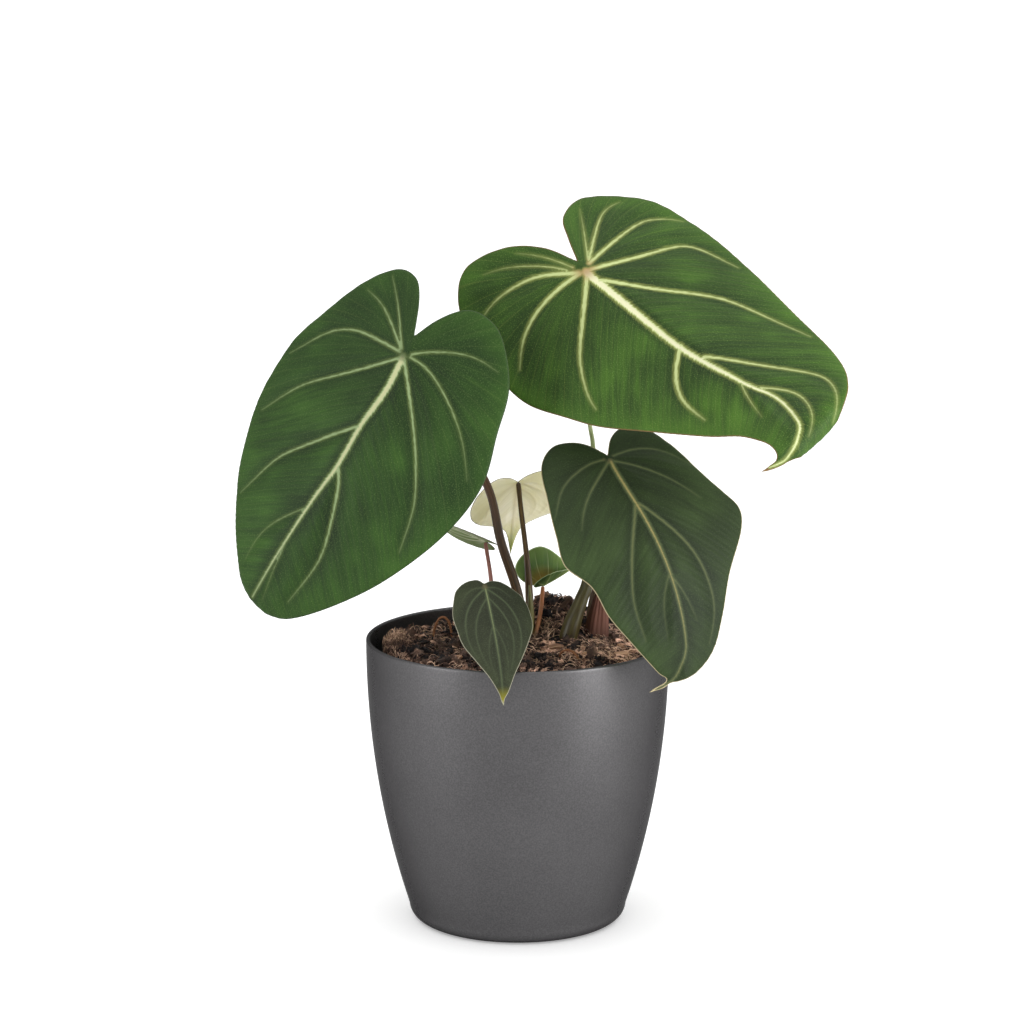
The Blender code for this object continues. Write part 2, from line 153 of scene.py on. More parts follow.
# %% Floor, sky and softboxes
FLOOR_SIDE = 60.0
FLOOR_GLOW = 0.29
CEILING_LIGHT = (1.72, 1.72, 1.72, 1.0)
WALL_LIGHT = (0.17, 0.17, 0.17, 1.0)
floor_mesh = bpy.data.meshes.new("floor")
half = FLOOR_SIDE / 2
floor_corners = [(-half, -half, 0.0), (half, -half, 0.0), (half, half, 0.0), (-half, half, 0.0)]
floor_mesh.from_pydata(floor_corners, [], [(0, 1, 2, 3)])
floor = bpy.data.objects.new("floor", floor_mesh)
bpy.context.scene.collection.objects.link(floor)
floor_surface = {
    "Base Color": (0.93, 0.93, 0.93, 1.0), "Roughness": 0.9, "Specular IOR Level": 0.0,
    "Emission Color": (1.0, 1.0, 1.0, 1.0), "Emission Strength": FLOOR_GLOW,
}
floor_acrylic, _ = new_material("lit_white_acrylic", floor_surface)
floor_mesh.materials.append(floor_acrylic)

sky = bpy.data.worlds.new("studio")
sky.use_nodes = True
sky_way = add_node(sky, "ShaderNodeTexCoord").outputs["Generated"]
sky_rise = add_node(sky, "ShaderNodeSeparateXYZ", {"Vector": sky_way}).outputs["Z"]
sky_mix = {FACTOR: sky_rise, FIRST: WALL_LIGHT, SECOND: CEILING_LIGHT}
sky_light = add_node(sky, "ShaderNodeMix", sky_mix, data_type="RGBA").outputs[MIXED]
# What the camera itself sees past the floor's edge is a white backdrop.
seen = add_node(sky, "ShaderNodeLightPath").outputs["Is Camera Ray"]
backdrop_mix = {FACTOR: seen, FIRST: sky_light, SECOND: linear("#ffffff")}
backdrop = add_node(sky, "ShaderNodeMix", backdrop_mix, data_type="RGBA").outputs[MIXED]
fill(sky, sky.node_tree.nodes["Background"], {"Color": backdrop})
bpy.context.scene.world = sky
bpy.context.scene.view_settings.view_transform = "Standard"

# Light linking does the work of the black cards that keep softboxes off a light table:
# the floor is left out of what they light, so that its soft contact shadow stays.
off_the_floor = bpy.data.collections.new("off_the_floor")
off_the_floor.objects.link(floor)
off_the_floor.collection_objects[0].light_linking.link_state = "EXCLUDE"

# Each softbox: where it stands, what it is aimed at, its width and height, and its power.
SOFTBOXES = {
    "softbox_right": ((0.98, -0.64, 0.40), (0.0, 0.0, 0.36), (0.5, 0.76), 18.0),
    "softbox_left": ((-0.98, -0.64, 0.40), (0.0, 0.0, 0.36), (0.5, 0.76), 8.5),
    "softbox_top": ((-0.2, -0.3, 2.0), (0.0, 0.0, 0.25), (1.4, 1.4), 5.0),
}
for name, (place, aim, (width, height), power) in SOFTBOXES.items():
    lamp = bpy.data.lights.new(name, "AREA")
    lamp.shape = "RECTANGLE"
    lamp.size = width
    lamp.size_y = height
    lamp.energy = power
    softbox = bpy.data.objects.new(name, lamp)
    softbox.location = place
    softbox.rotation_euler = (Vector(place) - Vector(aim)).to_track_quat("Z", "Y").to_euler()
    bpy.context.scene.collection.objects.link(softbox)
    softbox.light_linking.receiver_collection = off_the_floor
print(len(SOFTBOXES), "softboxes")

# %% [markdown]
# ## Meshes from grids of points
#
# Pots, stalks, roots and the papery sheath are all a grid of points wrapped round
# something. One function gives a grid's faces together with each corner's place on the
# unit square, which is the texture map of the pieces that have one. Another turns points,
# faces and per-point values into a smooth-shaded object. The per-point values are how the
# geometry talks to the materials: "how far am I from a vein" is worked out once, and
# painted later.

# %% Mesh helpers
def lattice(rows, columns, closed):
    """A grid's faces and their corners' places on the unit square; closed joins and caps it."""
    spans = columns if closed else columns - 1
    faces = []
    corners = []
    if closed:  # strips of four-sided faces close the first and the last ring
        last = (rows - 1) * columns
        for k in range(columns // 2 - 1):
            strip = (k, k + 1, columns - 2 - k, columns - 1 - k)
            faces += [strip[::-1], tuple(last + column for column in strip)]
            corners += [(column / columns, 0.0) for column in strip[::-1]]
            corners += [(column / columns, 1.0) for column in strip]
    for row in range(rows - 1):
        for column in range(spans):
            following = (column + 1) % columns
            near = row * columns
            far = near + columns
            faces.append((near + column, near + following, far + following, far + column))
            left, right = column / spans, (column + 1) / spans
            low, high = row / (rows - 1), (row + 1) / (rows - 1)
            corners += [(left, low), (right, low), (right, high), (left, high)]
    return faces, corners


def make_piece(name, points, faces, corners, material, **values):
    """A smooth object from points in millimetres, with a texture map and per-point values."""
    mesh = bpy.data.meshes.new(name)
    mesh.from_pydata((np.asarray(points, float) * MM).tolist(), [], faces)
    for key, value in values.items():
        value = np.asarray(value, np.float32)
        kind, field = ("FLOAT_VECTOR", "vector") if value.ndim == 2 else ("FLOAT", "value")
        mesh.attributes.new(key, kind, "POINT").data.foreach_set(field, value.ravel())
    if corners is not None:
        chart = mesh.uv_layers.new(name="OFBake")
        chart.data.foreach_set("uv", np.asarray(corners, np.float32).ravel())
    mesh.materials.append(material)
    mesh.shade_smooth()
    piece = bpy.data.objects.new(name, mesh)
    bpy.context.scene.collection.objects.link(piece)
    return piece


def settle(piece, slot, *nodes):
    """The piece rides on the plant's one body and stands for its CAD nodes; slot is not used."""
    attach(piece, "root")
    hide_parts(*nodes)
    low = np.min([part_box(node)[0] for node in nodes], axis=0) / MM
    high = np.max([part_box(node)[1] for node in nodes], axis=0) / MM
    corners = np.array([corner[:] for corner in piece.bound_box]) / MM
    past = np.concatenate([low - corners.min(axis=0), corners.max(axis=0) - high])
    print(f"{piece.name}: {len(piece.data.polygons)} faces, {past.max():.1f} mm past its CAD box at most")


def smooth_line(points, spacing):
    """Evenly spaced points along a smooth curve through the given ones."""
    points = np.array(points, float)
    ends = np.vstack([2 * points[0] - points[1], points, 2 * points[-1] - points[-2]])
    steps = np.linspace(0.0, 1.0, 12, endpoint=False)
    dense = []
    for p0, p1, p2, p3 in zip(ends, ends[1:], ends[2:], ends[3:]):
        for u in steps:
            bow = (2 * p0 - 5 * p1 + 4 * p2 - p3) * u + (3 * p1 - p0 - 3 * p2 + p3) * u * u
            dense.append(p1 + 0.5 * u * (p2 - p0 + bow))
    dense = np.array(dense + [points[-1]])
    travelled = np.append(0.0, np.cumsum(np.linalg.norm(np.diff(dense, axis=0), axis=1)))
    wanted = np.linspace(0.0, travelled[-1], max(2, round(travelled[-1] / spacing) + 1))
    return np.column_stack([np.interp(wanted, travelled, axis) for axis in dense.T])


def roughness_at(points, size, seed=0.0):
    """A smooth random number from about -1 to 1 for each point, changing over `size` mm."""
    shift = Vector((seed, -seed, 2.0 * seed))
    return np.array([noise.noise(Vector(point) / size + shift) for point in points])


print("mesh helpers ready")

# %% [markdown]
# ## The cover pot
#
# The real one is injection-moulded polypropylene: a tapered shell with a rounded lip,
# made in one shot. It could be a cylinder with modifiers, but a turned profile is how the
# mould itself is cut, so the outline is written down once and swept round. The taper is
# steep at the rim and curves in to the foot. The lip is a half circle, the foot is
# rounded, and the underside is dished by a millimetre so that it stands on a ring.

# %% Turned shells
def turned(name, profile, segments, material):
    """A profile of (radius, height), swept round Z: from below, up the outside and down inside."""
    profile = np.array(profile, float)
    turns = np.arange(segments) * math.tau / segments
    ring = np.column_stack([np.cos(turns), np.sin(turns), np.ones(segments)])
    points = np.concatenate([ring * (radius, radius, height) for radius, height in profile])
    faces, corners = lattice(len(profile), segments, closed=True)
    return make_piece(name, points, faces, corners, material)


def arc(centre, radius, start, end, count):
    """Points of (radius, height) along part of a circle; angles in degrees from +X."""
    angles = np.radians(np.linspace(start, end, count))
    return [(centre[0] + radius * math.cos(a), centre[1] + radius * math.sin(a)) for a in angles]


NEAR_AXIS = 0.02  # a profile stops just short of the axis, where its end ring is closed
POT_SEGMENTS = 256
POT_WALL = 2.5
POT_FLOOR = 3.0
POT_TAPER_POWER = 2.1
FOOT_ROUND = 8.5
INNER_ROUND = 4.5
FOOT_SHARE = 62.2 / 90.0  # the foot's radius beside the rim's
pot_rim = (pot_high.x - pot_low.x) / 2 / MM
pot_height = pot_high.z / MM
pot_foot = pot_rim * FOOT_SHARE


def pot_radius(height):
    taper = (1.0 - min(height, pot_height) / pot_height) ** POT_TAPER_POWER
    return pot_rim - (pot_rim - pot_foot) * taper


def make_cover_pot(material):
    lip = POT_WALL / 2
    lip_height = pot_height - lip
    foot_edge = pot_radius(FOOT_ROUND) - FOOT_ROUND
    profile = [(NEAR_AXIS, 1.0), (foot_edge - 6.2, 0.9), (foot_edge - 5.0, 0.0)]
    profile += arc((foot_edge, FOOT_ROUND), FOOT_ROUND, -90.0, -8.0, 14)
    profile += [(pot_radius(z), z) for z in np.linspace(FOOT_ROUND + 0.6, lip_height - 1.0, 44)]
    profile += arc((pot_rim - lip, lip_height), lip, 0.0, 180.0, 13)
    profile += [(pot_radius(z) - POT_WALL, z) for z in np.linspace(lip_height - 1.0, 8.0, 40)]
    floor_edge = pot_radius(POT_FLOOR) - POT_WALL - INNER_ROUND
    profile += arc((floor_edge, POT_FLOOR + INNER_ROUND), INNER_ROUND, -12.0, -90.0, 6)
    profile += [(NEAR_AXIS, POT_FLOOR)]
    pot = turned("cover_pot_shell", profile, POT_SEGMENTS, material)
    settle(pot, "pot_plastic", "cover_pot")


# %% [markdown]
# ### Its finish: satin polypropylene
#
# Polypropylene, injection moulded in a spark-eroded mould. The mould leaves a fine, even
# grain, which spreads the softbox's reflection into a broad band with no sharp edge. Fine
# metal flake in the grey makes most of that reflection grey too, hence the high metallic
# value. A bare plastic would be flat grey here, and a polished one would mirror the lamp:
# roughness near 0.4 sits between them. IOR 1.49 is polypropylene's. The real grain is about
# 0.1 mm, too fine to show, so it is drawn at 0.5, and the flake at 0.9.

# %% Cover pot material and piece
def satin_polypropylene():
    surface = {
        "Roughness": 0.43, "IOR": 1.49, "Metallic": 0.85, "Specular IOR Level": 0.1,
        "Specular Tint": (0.25, 0.25, 0.25, 1.0),
    }
    material, shader = new_material("satin_grey_polypropylene", surface)
    place = add_node(material, "ShaderNodeTexCoord").outputs["Object"]
    flake = add_node(material, "ShaderNodeTexNoise", {"Vector": place, "Scale": 1000 / 0.9, "Detail": 1.0})
    cloud = add_node(material, "ShaderNodeTexNoise", {"Vector": place, "Scale": 1000 / 45, "Detail": 2.0})
    flecked = add_node(
        material,
        "ShaderNodeValToRGB",
        {"Fac": flake.outputs["Fac"]},
        stops=[(0.30, "#4d4c4d"), (0.52, "#535253"), (0.72, "#595859")],
    )
    clouded = add_node(
        material,
        "ShaderNodeMix",
        {FACTOR: 0.15, FIRST: flecked.outputs["Color"], SECOND: cloud.outputs["Fac"]},
        data_type="RGBA",
        blend_type="SOFT_LIGHT",
    )
    grain = add_node(material, "ShaderNodeTexNoise", {"Vector": place, "Scale": 1000 / 0.5, "Detail": 2.0})
    bump = add_node(
        material,
        "ShaderNodeBump",
        {"Strength": 0.06, "Distance": 0.0001, "Height": grain.outputs["Fac"]},
    )
    fill(material, shader, {"Base Color": clouded.outputs[MIXED], "Normal": bump.outputs["Normal"]})
    return material


make_cover_pot(satin_polypropylene())

# %% [markdown]
# ## The nursery pot
#
# Inside the cover pot stands the thin black pot that the plant grew in. Only its rim can
# be seen, so the rim gets the care: it is rolled outwards, as on every thermoformed pot,
# which keeps the thin sheet from splitting. Recycled polypropylene, dull black, dusty.

# %% Nursery pot
NURSERY_WALL = 1.2
NURSERY_ROLL = 1.0
NURSERY_SEGMENTS = 160
nursery_low, nursery_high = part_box("nursery_pot")
nursery_rim = (nursery_high.x - nursery_low.x) / 2 / MM
nursery_top = nursery_high.z / MM
nursery_base = nursery_low.z / MM
NURSERY_FOOT_SHARE = 54.0 / 80.5


def dusty_black_plastic():
    material, shader = new_material("dusty_black_plastic", {"Roughness": 0.55, "IOR": 1.49})
    place = add_node(material, "ShaderNodeTexCoord").outputs["Object"]
    dust = add_node(material, "ShaderNodeTexNoise", {"Vector": place, "Scale": 1000 / 6, "Detail": 6.0})
    dusted = add_node(
        material,
        "ShaderNodeValToRGB",
        {"Fac": dust.outputs["Fac"]},
        stops=[(0.45, "#1b1a19"), (0.62, "#2b2724"), (0.78, "#4a3d33")],
    )
    bump = add_node(
        material,
        "ShaderNodeBump",
        {"Strength": 0.3, "Distance": 0.0003, "Height": dust.outputs["Fac"]},
    )
    fill(material, shader, {"Base Color": dusted.outputs["Color"], "Normal": bump.outputs["Normal"]})
    return material


def make_nursery_pot(material):
    foot = nursery_rim * NURSERY_FOOT_SHARE
    roll = NURSERY_ROLL
    profile = [(NEAR_AXIS, nursery_base), (foot - 2.0, nursery_base), (foot, nursery_base + 2.0)]
    shares = np.linspace(0.05, 1.0, 24)
    heights = nursery_base + (nursery_top - 2 * roll - nursery_base) * shares
    outside = [(foot + (nursery_rim - roll - foot) * share, z) for share, z in zip(shares, heights)]
    inside = [(radius - NURSERY_WALL, z) for radius, z in outside[::-1]]
    floor_top = nursery_base + NURSERY_WALL
    profile += outside + arc((nursery_rim - roll, nursery_top - roll), roll, -80.0, 180.0, 12)
    profile += inside + [(foot - 3.0, floor_top), (NEAR_AXIS, floor_top)]
    pot = turned("nursery_pot_shell", profile, NURSERY_SEGMENTS, material)
    settle(pot, "nursery_plastic", "nursery_pot")


make_nursery_pot(dusty_black_plastic())

# %% [markdown]
# ## The potting mix
#
# Coconut coir, bark crumbs and husk splinters, watered and settled. It has three layers
# here. First a dense grid gives the heaped surface: level at the edge, and pushed up
# behind the stalks. Then over a thousand crumbs are pressed into it, and last the fibres,
# which are what the eye reads as coir. A bump map alone would look like brown plaster
# from the side, so every crumb and fibre that is large enough to see is real geometry.

# %% Shape of the heap
MIX_EDGE_HEIGHT = 164.0
MIX_EDGE_RADIUS = 78.6
MIX_CROWN = 3.0
MIX_HEAP_HEIGHT = 22.0
MIX_HEAP_CENTRE = (24.0, 38.0)
MIX_HEAP_SPREAD = 19.0
mix_low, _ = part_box("potting_mix")


def nearness(x, y, centre, spread):
    """1 at a place on the mix, falling smoothly to 0 all round it."""
    return np.exp(-((x - centre[0]) ** 2 + (y - centre[1]) ** 2) / (2 * spread**2))


def mix_height(x, y):
    """Height of the settled mix above the floor."""
    off = np.hypot(x, y) / MIX_EDGE_RADIUS
    heap = nearness(x, y, MIX_HEAP_CENTRE, MIX_HEAP_SPREAD)
    level = MIX_EDGE_HEIGHT + MIX_CROWN * (1.0 - off**2)
    return level + MIX_HEAP_HEIGHT * heap * np.maximum(1.0 - off**6, 0.0)


print("heap stands", round(float(mix_height(*MIX_HEAP_CENTRE)), 1), "mm above the floor")

# %% [markdown]
# ### Its finish: damp coir
#
# Coconut coir and composted bark. Damp lumps are nearly black-brown, dry fibre ends are
# rust to straw coloured, and nothing shines. Each crumb and fibre carries a number,
# "shade", that says how dry it is, so that neighbours differ the way real litter does.
# Among the stalks' feet it also carries painted shade.

# %% Coir material
def damp_coir(name, dark, middle, pale):
    material, shader = new_material(name, {"Roughness": 0.93, "Specular IOR Level": 0.25})
    place = add_node(material, "ShaderNodeTexCoord").outputs["Object"]
    shade = add_node(material, "ShaderNodeAttribute", attribute_name="shade").outputs["Fac"]
    clod = add_node(material, "ShaderNodeTexNoise", {"Vector": place, "Scale": 1000 / 5, "Detail": 8.0})
    both = add_node(
        material, "ShaderNodeMath", {0: clod.outputs["Fac"], 1: shade}, operation="ADD"
    )
    coloured = add_node(
        material,
        "ShaderNodeValToRGB",
        {"Fac": both.outputs["Value"]},
        stops=[(0.30, dark), (0.62, middle), (0.95, pale)],
    )
    grit = add_node(material, "ShaderNodeTexNoise", {"Vector": place, "Scale": 1000 / 0.8, "Detail": 4.0})
    bump = add_node(
        material,
        "ShaderNodeBump",
        {"Strength": 0.8, "Distance": 0.0006, "Height": grit.outputs["Fac"]},
    )
    fill(material, shader, {"Base Color": coloured.outputs["Color"], "Normal": bump.outputs["Normal"]})
    return material


coir_earth = damp_coir("damp_coir_earth", "#110e0f", "#261e1e", "#4d3e38")
coir_fibre = damp_coir("dry_coir_fibre", "#281d1d", "#71564a", "#dfb9a0")
print("two coir mixes")


def dryness_and_shade(x, y):
    """Added to each shade: drier at the right and at the left wall, darker at the front left, and painted
    shade in the middle, among the stalks' feet.
    """
    patches = 0.26 * roughness_at(np.column_stack([x, y, np.zeros(len(x))]), 11.0, 21.0)
    right = 0.15 * nearness(x, y, (54.0, -26.0), 20.0)
    # painted shade: the mix in the middle, among the stalks' feet under the leaves, is darkened
    middle = 0.24 * nearness(x, y, (17.0, -8.0), 17.0)
    felt = 0.24 * np.exp(-(((np.hypot(x, y) - 80.0) / 4.5) ** 2)) * (x < -15.0)
    left = 0.24 * nearness(x, y, (-58.0, -16.0), 15.0)
    return patches + right + felt - middle - left + 0.06


# %% Surface of the mix
SURFACE_RINGS = 110
SURFACE_SEGMENTS = 260
SURFACE_CENTRE = 0.01  # the radius of its innermost ring


def lumpy_height(x, y):
    """The heap with clods, hollows and grit on it, fading at the pot's edge."""
    places = np.column_stack([x, y, np.zeros_like(x)])
    clods = 2.6 * roughness_at(places, 10.0, 3.0) + 1.4 * roughness_at(places, 4.5, 7.0)
    grit = 0.5 * roughness_at(places, 1.6, 11.0)
    edge = np.clip((MIX_EDGE_RADIUS - np.hypot(x, y)) / 6.0, 0.2, 1.0)
    return mix_height(x, y) - 1.2 + (clods + grit) * edge


def make_mix_surface(material):
    low_edge = nursery_rim * NURSERY_FOOT_SHARE - 3.0
    low = mix_low.z / MM
    radii = list(np.linspace(SURFACE_CENTRE, MIX_EDGE_RADIUS, SURFACE_RINGS))
    turns = np.arange(SURFACE_SEGMENTS) * math.tau / SURFACE_SEGMENTS
    rings = []
    for radius in radii[::-1]:
        x, y = radius * np.cos(turns), radius * np.sin(turns)
        rings.append(np.column_stack([x, y, lumpy_height(x, y)]))
    under = []
    for radius, z in [(SURFACE_CENTRE, low), (low_edge, low), (MIX_EDGE_RADIUS, nursery_top - 1.0)]:
        level = np.full(len(turns), z)
        under.append(np.column_stack([radius * np.cos(turns), radius * np.sin(turns), level]))
    points = np.concatenate(under + rings)
    faces, corners = lattice(len(under) + len(rings), SURFACE_SEGMENTS, closed=True)
    shade = 0.6 * dryness_and_shade(points[:, 0], points[:, 1]) + 0.1 * roughness_at(points, 14.0, 5.0)
    surface = make_piece("mix_surface", points, faces, corners, material, shade=shade)
    settle(surface, "coir_mix", "potting_mix")


make_mix_surface(coir_earth)

# %% [markdown]
# ### Crumbs
#
# A crumb is a small ball of points, squashed and then pushed in and out at random. All
# crumbs share one mesh, because nobody would pick them up one by one. The right-hand side
# of the mix has more bark and husk in it, so flat flakes, dark and pale, are thrown there
# on purpose.

# %% Crumbs
chance = np.random.default_rng(20)


def rough_ball(rows, columns):
    """Points on a unit ball as rows of rings, from one pole to the other."""
    tilts = np.linspace(0.25, math.pi - 0.25, rows)
    turns = np.arange(columns) * math.tau / columns
    return np.array(
        [(math.sin(t) * math.cos(a), math.sin(t) * math.sin(a), -math.cos(t)) for t in tilts for a in turns]
    )


def scatter(count, spread, centre=(0.0, 0.0)):
    """Random places on the mix, as x and y."""
    found = []
    while len(found) < count:
        x, y = chance.normal(centre, spread) if spread else chance.uniform(-77.0, 77.0, 2)
        if math.hypot(x, y) < MIX_EDGE_RADIUS - 0.5:
            found.append((x, y))
    return np.array(found)


def make_crumbs(material):
    ball = rough_ball(6, 8)
    ball_faces, _ = lattice(6, 8, closed=True)
    # Each kind: how many, where, the smallest and largest size, its flatness and its shade.
    kinds = [
        (170, None, (2.4, 5.2), (0.5, 0.9), (-0.30, 0.05)),
        (1000, None, (0.9, 2.5), (0.5, 0.9), (-0.25, 0.20)),
        (150, None, (1.6, 3.6), (0.25, 0.5), (0.00, 0.35)),
        (360, ((15.0, 12.0), (50.0, -28.0)), (1.2, 3.6), (0.18, 0.42), (-0.45, 0.62)),
        (60, ((6.0, 5.0), (24.0, -15.0)), (1.4, 3.4), (0.25, 0.5), (0.30, 0.70)),
    ]
    points, faces, shades = [], [], []
    for count, where, sizes, flats, shade_range in kinds:
        spots = scatter(count, where[0], where[1]) if where else scatter(count, None)
        heights = lumpy_height(spots[:, 0], spots[:, 1])
        dry = dryness_and_shade(spots[:, 0], spots[:, 1])
        for (x, y), z, extra in zip(spots, heights, dry):
            size = chance.uniform(*sizes)
            shape = ball * (size, size * chance.uniform(0.45, 0.9), size * chance.uniform(*flats))
            shape *= 1.0 + 0.28 * chance.standard_normal((len(ball), 1))
            turn = Euler(chance.uniform(-0.7, 0.7, 2).tolist() + [chance.uniform(0.0, math.tau)])
            shape = shape @ np.array(turn.to_matrix()).T + (x, y, z + 0.25 * size)
            first = len(points) * len(ball)
            faces += [tuple(first + corner for corner in face) for face in ball_faces]
            points.append(shape)
            shades.append(np.full(len(ball), chance.uniform(*shade_range) + extra))
    points, shades = np.concatenate(points), np.concatenate(shades)
    crumbs = make_piece("mix_crumbs", points, faces, None, material, shade=shades)
    crumbs.data.shade_flat()
    settle(crumbs, "coir_mix", "potting_mix")


coir_crumb = damp_coir("bark_and_husk_crumb", "#171213", "#564239", "#d8ac96")
make_crumbs(coir_crumb)

# %% [markdown]
# ### Fibres
#
# A coir fibre is a stiff, wandering hair, here 5 to 30 mm long. Each is a thin tube along a
# random walk that stays on the heap and arches off it once or twice. At the left edge the
# real root ball wears a felt of curly fibres where it pressed against its pot, so one
# batch of short, tight curls stands there.

# %% Fibres
STRAND_SIDES = 4
STRAND_RINGS = 12


def sweep(line, radii, sides):
    """Points of rings round a line, and for each its place in the straightened-out stalk."""
    ahead = np.gradient(line, axis=0)
    ahead /= np.linalg.norm(ahead, axis=1)[:, None]
    across = np.cross(ahead[0], (0.31, 0.95, 0.08))
    travelled = np.append(0.0, np.cumsum(np.linalg.norm(np.diff(line, axis=0), axis=1)))
    turns = np.arange(sides) * math.tau / sides
    points, straight = [], []
    for place, way, radius, far in zip(line, ahead, radii, travelled):
        across = across - way * (across @ way)  # carried along without twisting
        across /= np.linalg.norm(across)
        side = np.cross(way, across)
        ring = np.outer(np.cos(turns), across) + np.outer(np.sin(turns), side)
        width = np.broadcast_to(radius, sides)[:, None]
        points.append(place + ring * width)
        flat_ring = np.column_stack([np.cos(turns), np.sin(turns)]) * width
        straight.append(np.column_stack([flat_ring, np.full(sides, far)]))
    return np.concatenate(points), np.concatenate(straight)


def strand_line(x, y, length, curliness, lift):
    """A random walk over the heap that arches off it."""
    heading = chance.uniform(0.0, math.tau)
    turning = chance.normal(0.0, curliness)
    steps = np.linspace(0.0, 1.0, STRAND_RINGS)
    headings = heading + turning * steps + chance.normal(0.0, curliness / 2) * np.sin(steps * 5.0)
    stride = length / (STRAND_RINGS - 1)
    xs = x + np.cumsum(np.cos(headings)) * stride
    ys = y + np.cumsum(np.sin(headings)) * stride
    reach = np.hypot(xs, ys)
    inside = np.minimum(1.0, (MIX_EDGE_RADIUS + 1.5) / reach)
    xs, ys = xs * inside, ys * inside
    rise = lift * np.abs(np.sin(steps * math.pi * chance.choice([1.0, 1.5, 2.0])))
    return np.column_stack([xs, ys, mix_height(xs, ys) - 0.6 + rise])


def make_fibres(material):
    # Each batch: how many, where, length, curliness, lift, thickness and shade.
    batches = [
        (1150, (None, None), (6.0, 22.0), 1.6, (0.6, 3.2), (0.12, 0.30), (-0.25, 0.35)),
        (330, ((17.0, 12.0), (48.0, -32.0)), (5.0, 18.0), 0.9, (0.8, 3.6), (0.18, 0.45), (-0.30, 0.50)),
        (520, ((5.0, 24.0), (-75.0, -2.0)), (5.0, 12.0), 3.6, (1.5, 6.5), (0.16, 0.32), (-0.08, 0.28)),
        (110, ((14.0, 12.0), (18.0, 6.0)), (12.0, 30.0), 0.8, (1.0, 3.5), (0.16, 0.34), (0.10, 0.55)),
    ]
    grid_faces, grid_corners = lattice(STRAND_RINGS, STRAND_SIDES, closed=True)
    grid_corners = np.array(grid_corners)
    points, faces, corners, shades = [], [], [], []
    cells = math.ceil(math.sqrt(sum(batch[0] for batch in batches)))
    for count, (spread, centre), lengths, curliness, lifts, widths, shade_range in batches:
        spots = scatter(count, spread, centre)
        for (x, y), extra in zip(spots, dryness_and_shade(spots[:, 0], spots[:, 1])):
            line = strand_line(x, y, chance.uniform(*lengths), curliness, chance.uniform(*lifts))
            thin = np.linspace(1.0, 0.35, STRAND_RINGS) * chance.uniform(*widths)
            ring_points, _ = sweep(line, thin, STRAND_SIDES)
            first = len(points) * len(ring_points)
            faces += [tuple(first + corner for corner in face) for face in grid_faces]
            cell = divmod(len(points), cells)
            corners.append((grid_corners * 0.9 + cell) / cells)  # each strand has its own cell of the map
            points.append(ring_points)
            shades.append(np.full(len(ring_points), chance.uniform(*shade_range) + extra))
    points, shades, corners = np.concatenate(points), np.concatenate(shades), np.concatenate(corners)
    fibres = make_piece("mix_fibres", points, faces, corners, material, shade=shades)
    settle(fibres, "coir_mix", "potting_mix")


make_fibres(coir_fibre)


# %% [markdown]
# ## The leaves
#
# A philodendron blade is a sheet half a millimetre thick, so what makes it look alive is
# how it bends and where its veins run. Each blade is laid out flat first, like a paper
# pattern: s runs along the midrib from the stalk to the tip, and t across it. The outline
# is filled with an even net of points, each point learns how far it is from the veins and
# from the edge, and only then is the sheet bent into place. Bending a flat pattern keeps
# the veins and the outline together, which sculpting in space would not.
#
# The bend has few parts. Arch and sway curve the midrib down and sideways, in degrees per
# 100 mm. Hook rolls the tip under. Fold is each half's slope at the midrib, and curl is
# how fast that slope grows towards the edge. Net is how far apart the points are, and wave
# is the height of the slow waves in the sheet.

# %% Bending a flat pattern
class Bend:
    """Where the flat blade's points come to lie once it is bent and put in place."""

    STEP = 1.0
    FIRST = -90.0
    LAST = 231.0

    def __init__(self, blade):
        self.blade = blade
        stations = np.arange(self.FIRST, self.LAST, self.STEP)
        ahead = np.clip(stations, 0.0, None)
        past = np.clip(stations - blade.get("hook_at", 1000.0), 0.0, None)
        down = np.radians(blade["arch"] * ahead / 100.0 + blade.get("hook", 0) * past**2 / 10000.0)
        side = np.radians(blade.get("sway", 0) * ahead / 100.0)
        along = np.column_stack([np.cos(down) * np.cos(side), np.sin(side), -np.sin(down) * np.cos(side)])
        over = np.column_stack([np.sin(down), np.zeros_like(down), np.cos(down)])
        across = np.cross(over, along)
        across /= np.linalg.norm(across, axis=1)[:, None]
        walk = np.cumsum((along[1:] + along[:-1]) * 0.5 * self.STEP, axis=0)
        centre = np.vstack([np.zeros(3), walk])
        self.stations = stations
        self.centre = centre - centre[int(-self.FIRST / self.STEP)]
        self.across = across
        self.up = np.cross(along, across)
        yaw, pitch, roll = np.radians(blade["turn"])
        self.turn = np.array(Euler((roll, pitch, yaw)).to_matrix())

    def read(self, table, s):
        """A table's rows at these stations along the midrib."""
        return np.column_stack([np.interp(s, self.stations, column) for column in table.T])

    def place(self, flat):
        """Flat points, bent and put in place."""
        s, t = flat[:, 0], flat[:, 1]
        fold = np.radians(np.where(t >= 0, *self.blade["fold"]))
        curl = np.radians(np.where(t >= 0, *self.blade["curl"])) / 100.0
        slope = fold + curl * np.abs(t)
        outward = np.sign(t) * (np.sin(slope) - np.sin(fold)) / curl
        drop = (np.cos(fold) - np.cos(slope)) / curl
        bent = self.read(self.centre, s) + self.read(self.across, s) * outward[:, None]
        bent -= self.read(self.up, s) * drop[:, None]
        return bent @ self.turn.T + self.blade["at"]

    def underside(self, distance):
        """A point this far below the place where the stalk joins."""
        return tuple(np.array(self.blade["at"]) - self.turn @ (0.0, 0.0, distance))


print("the bend is a rule of", Bend.STEP, "mm steps")

# %% [markdown]
# ### Patterns of the three large leaves
#
# Each pattern is the outline's two halves and its veins. The first number of a side vein
# says how strong it is beside the leaf's main ones. Side veins are listed from the lobes
# to the tip. The places, turns and bends are the ones the design model uses, and so are the
# outlines, apart from the tips, which are drawn out finer here.

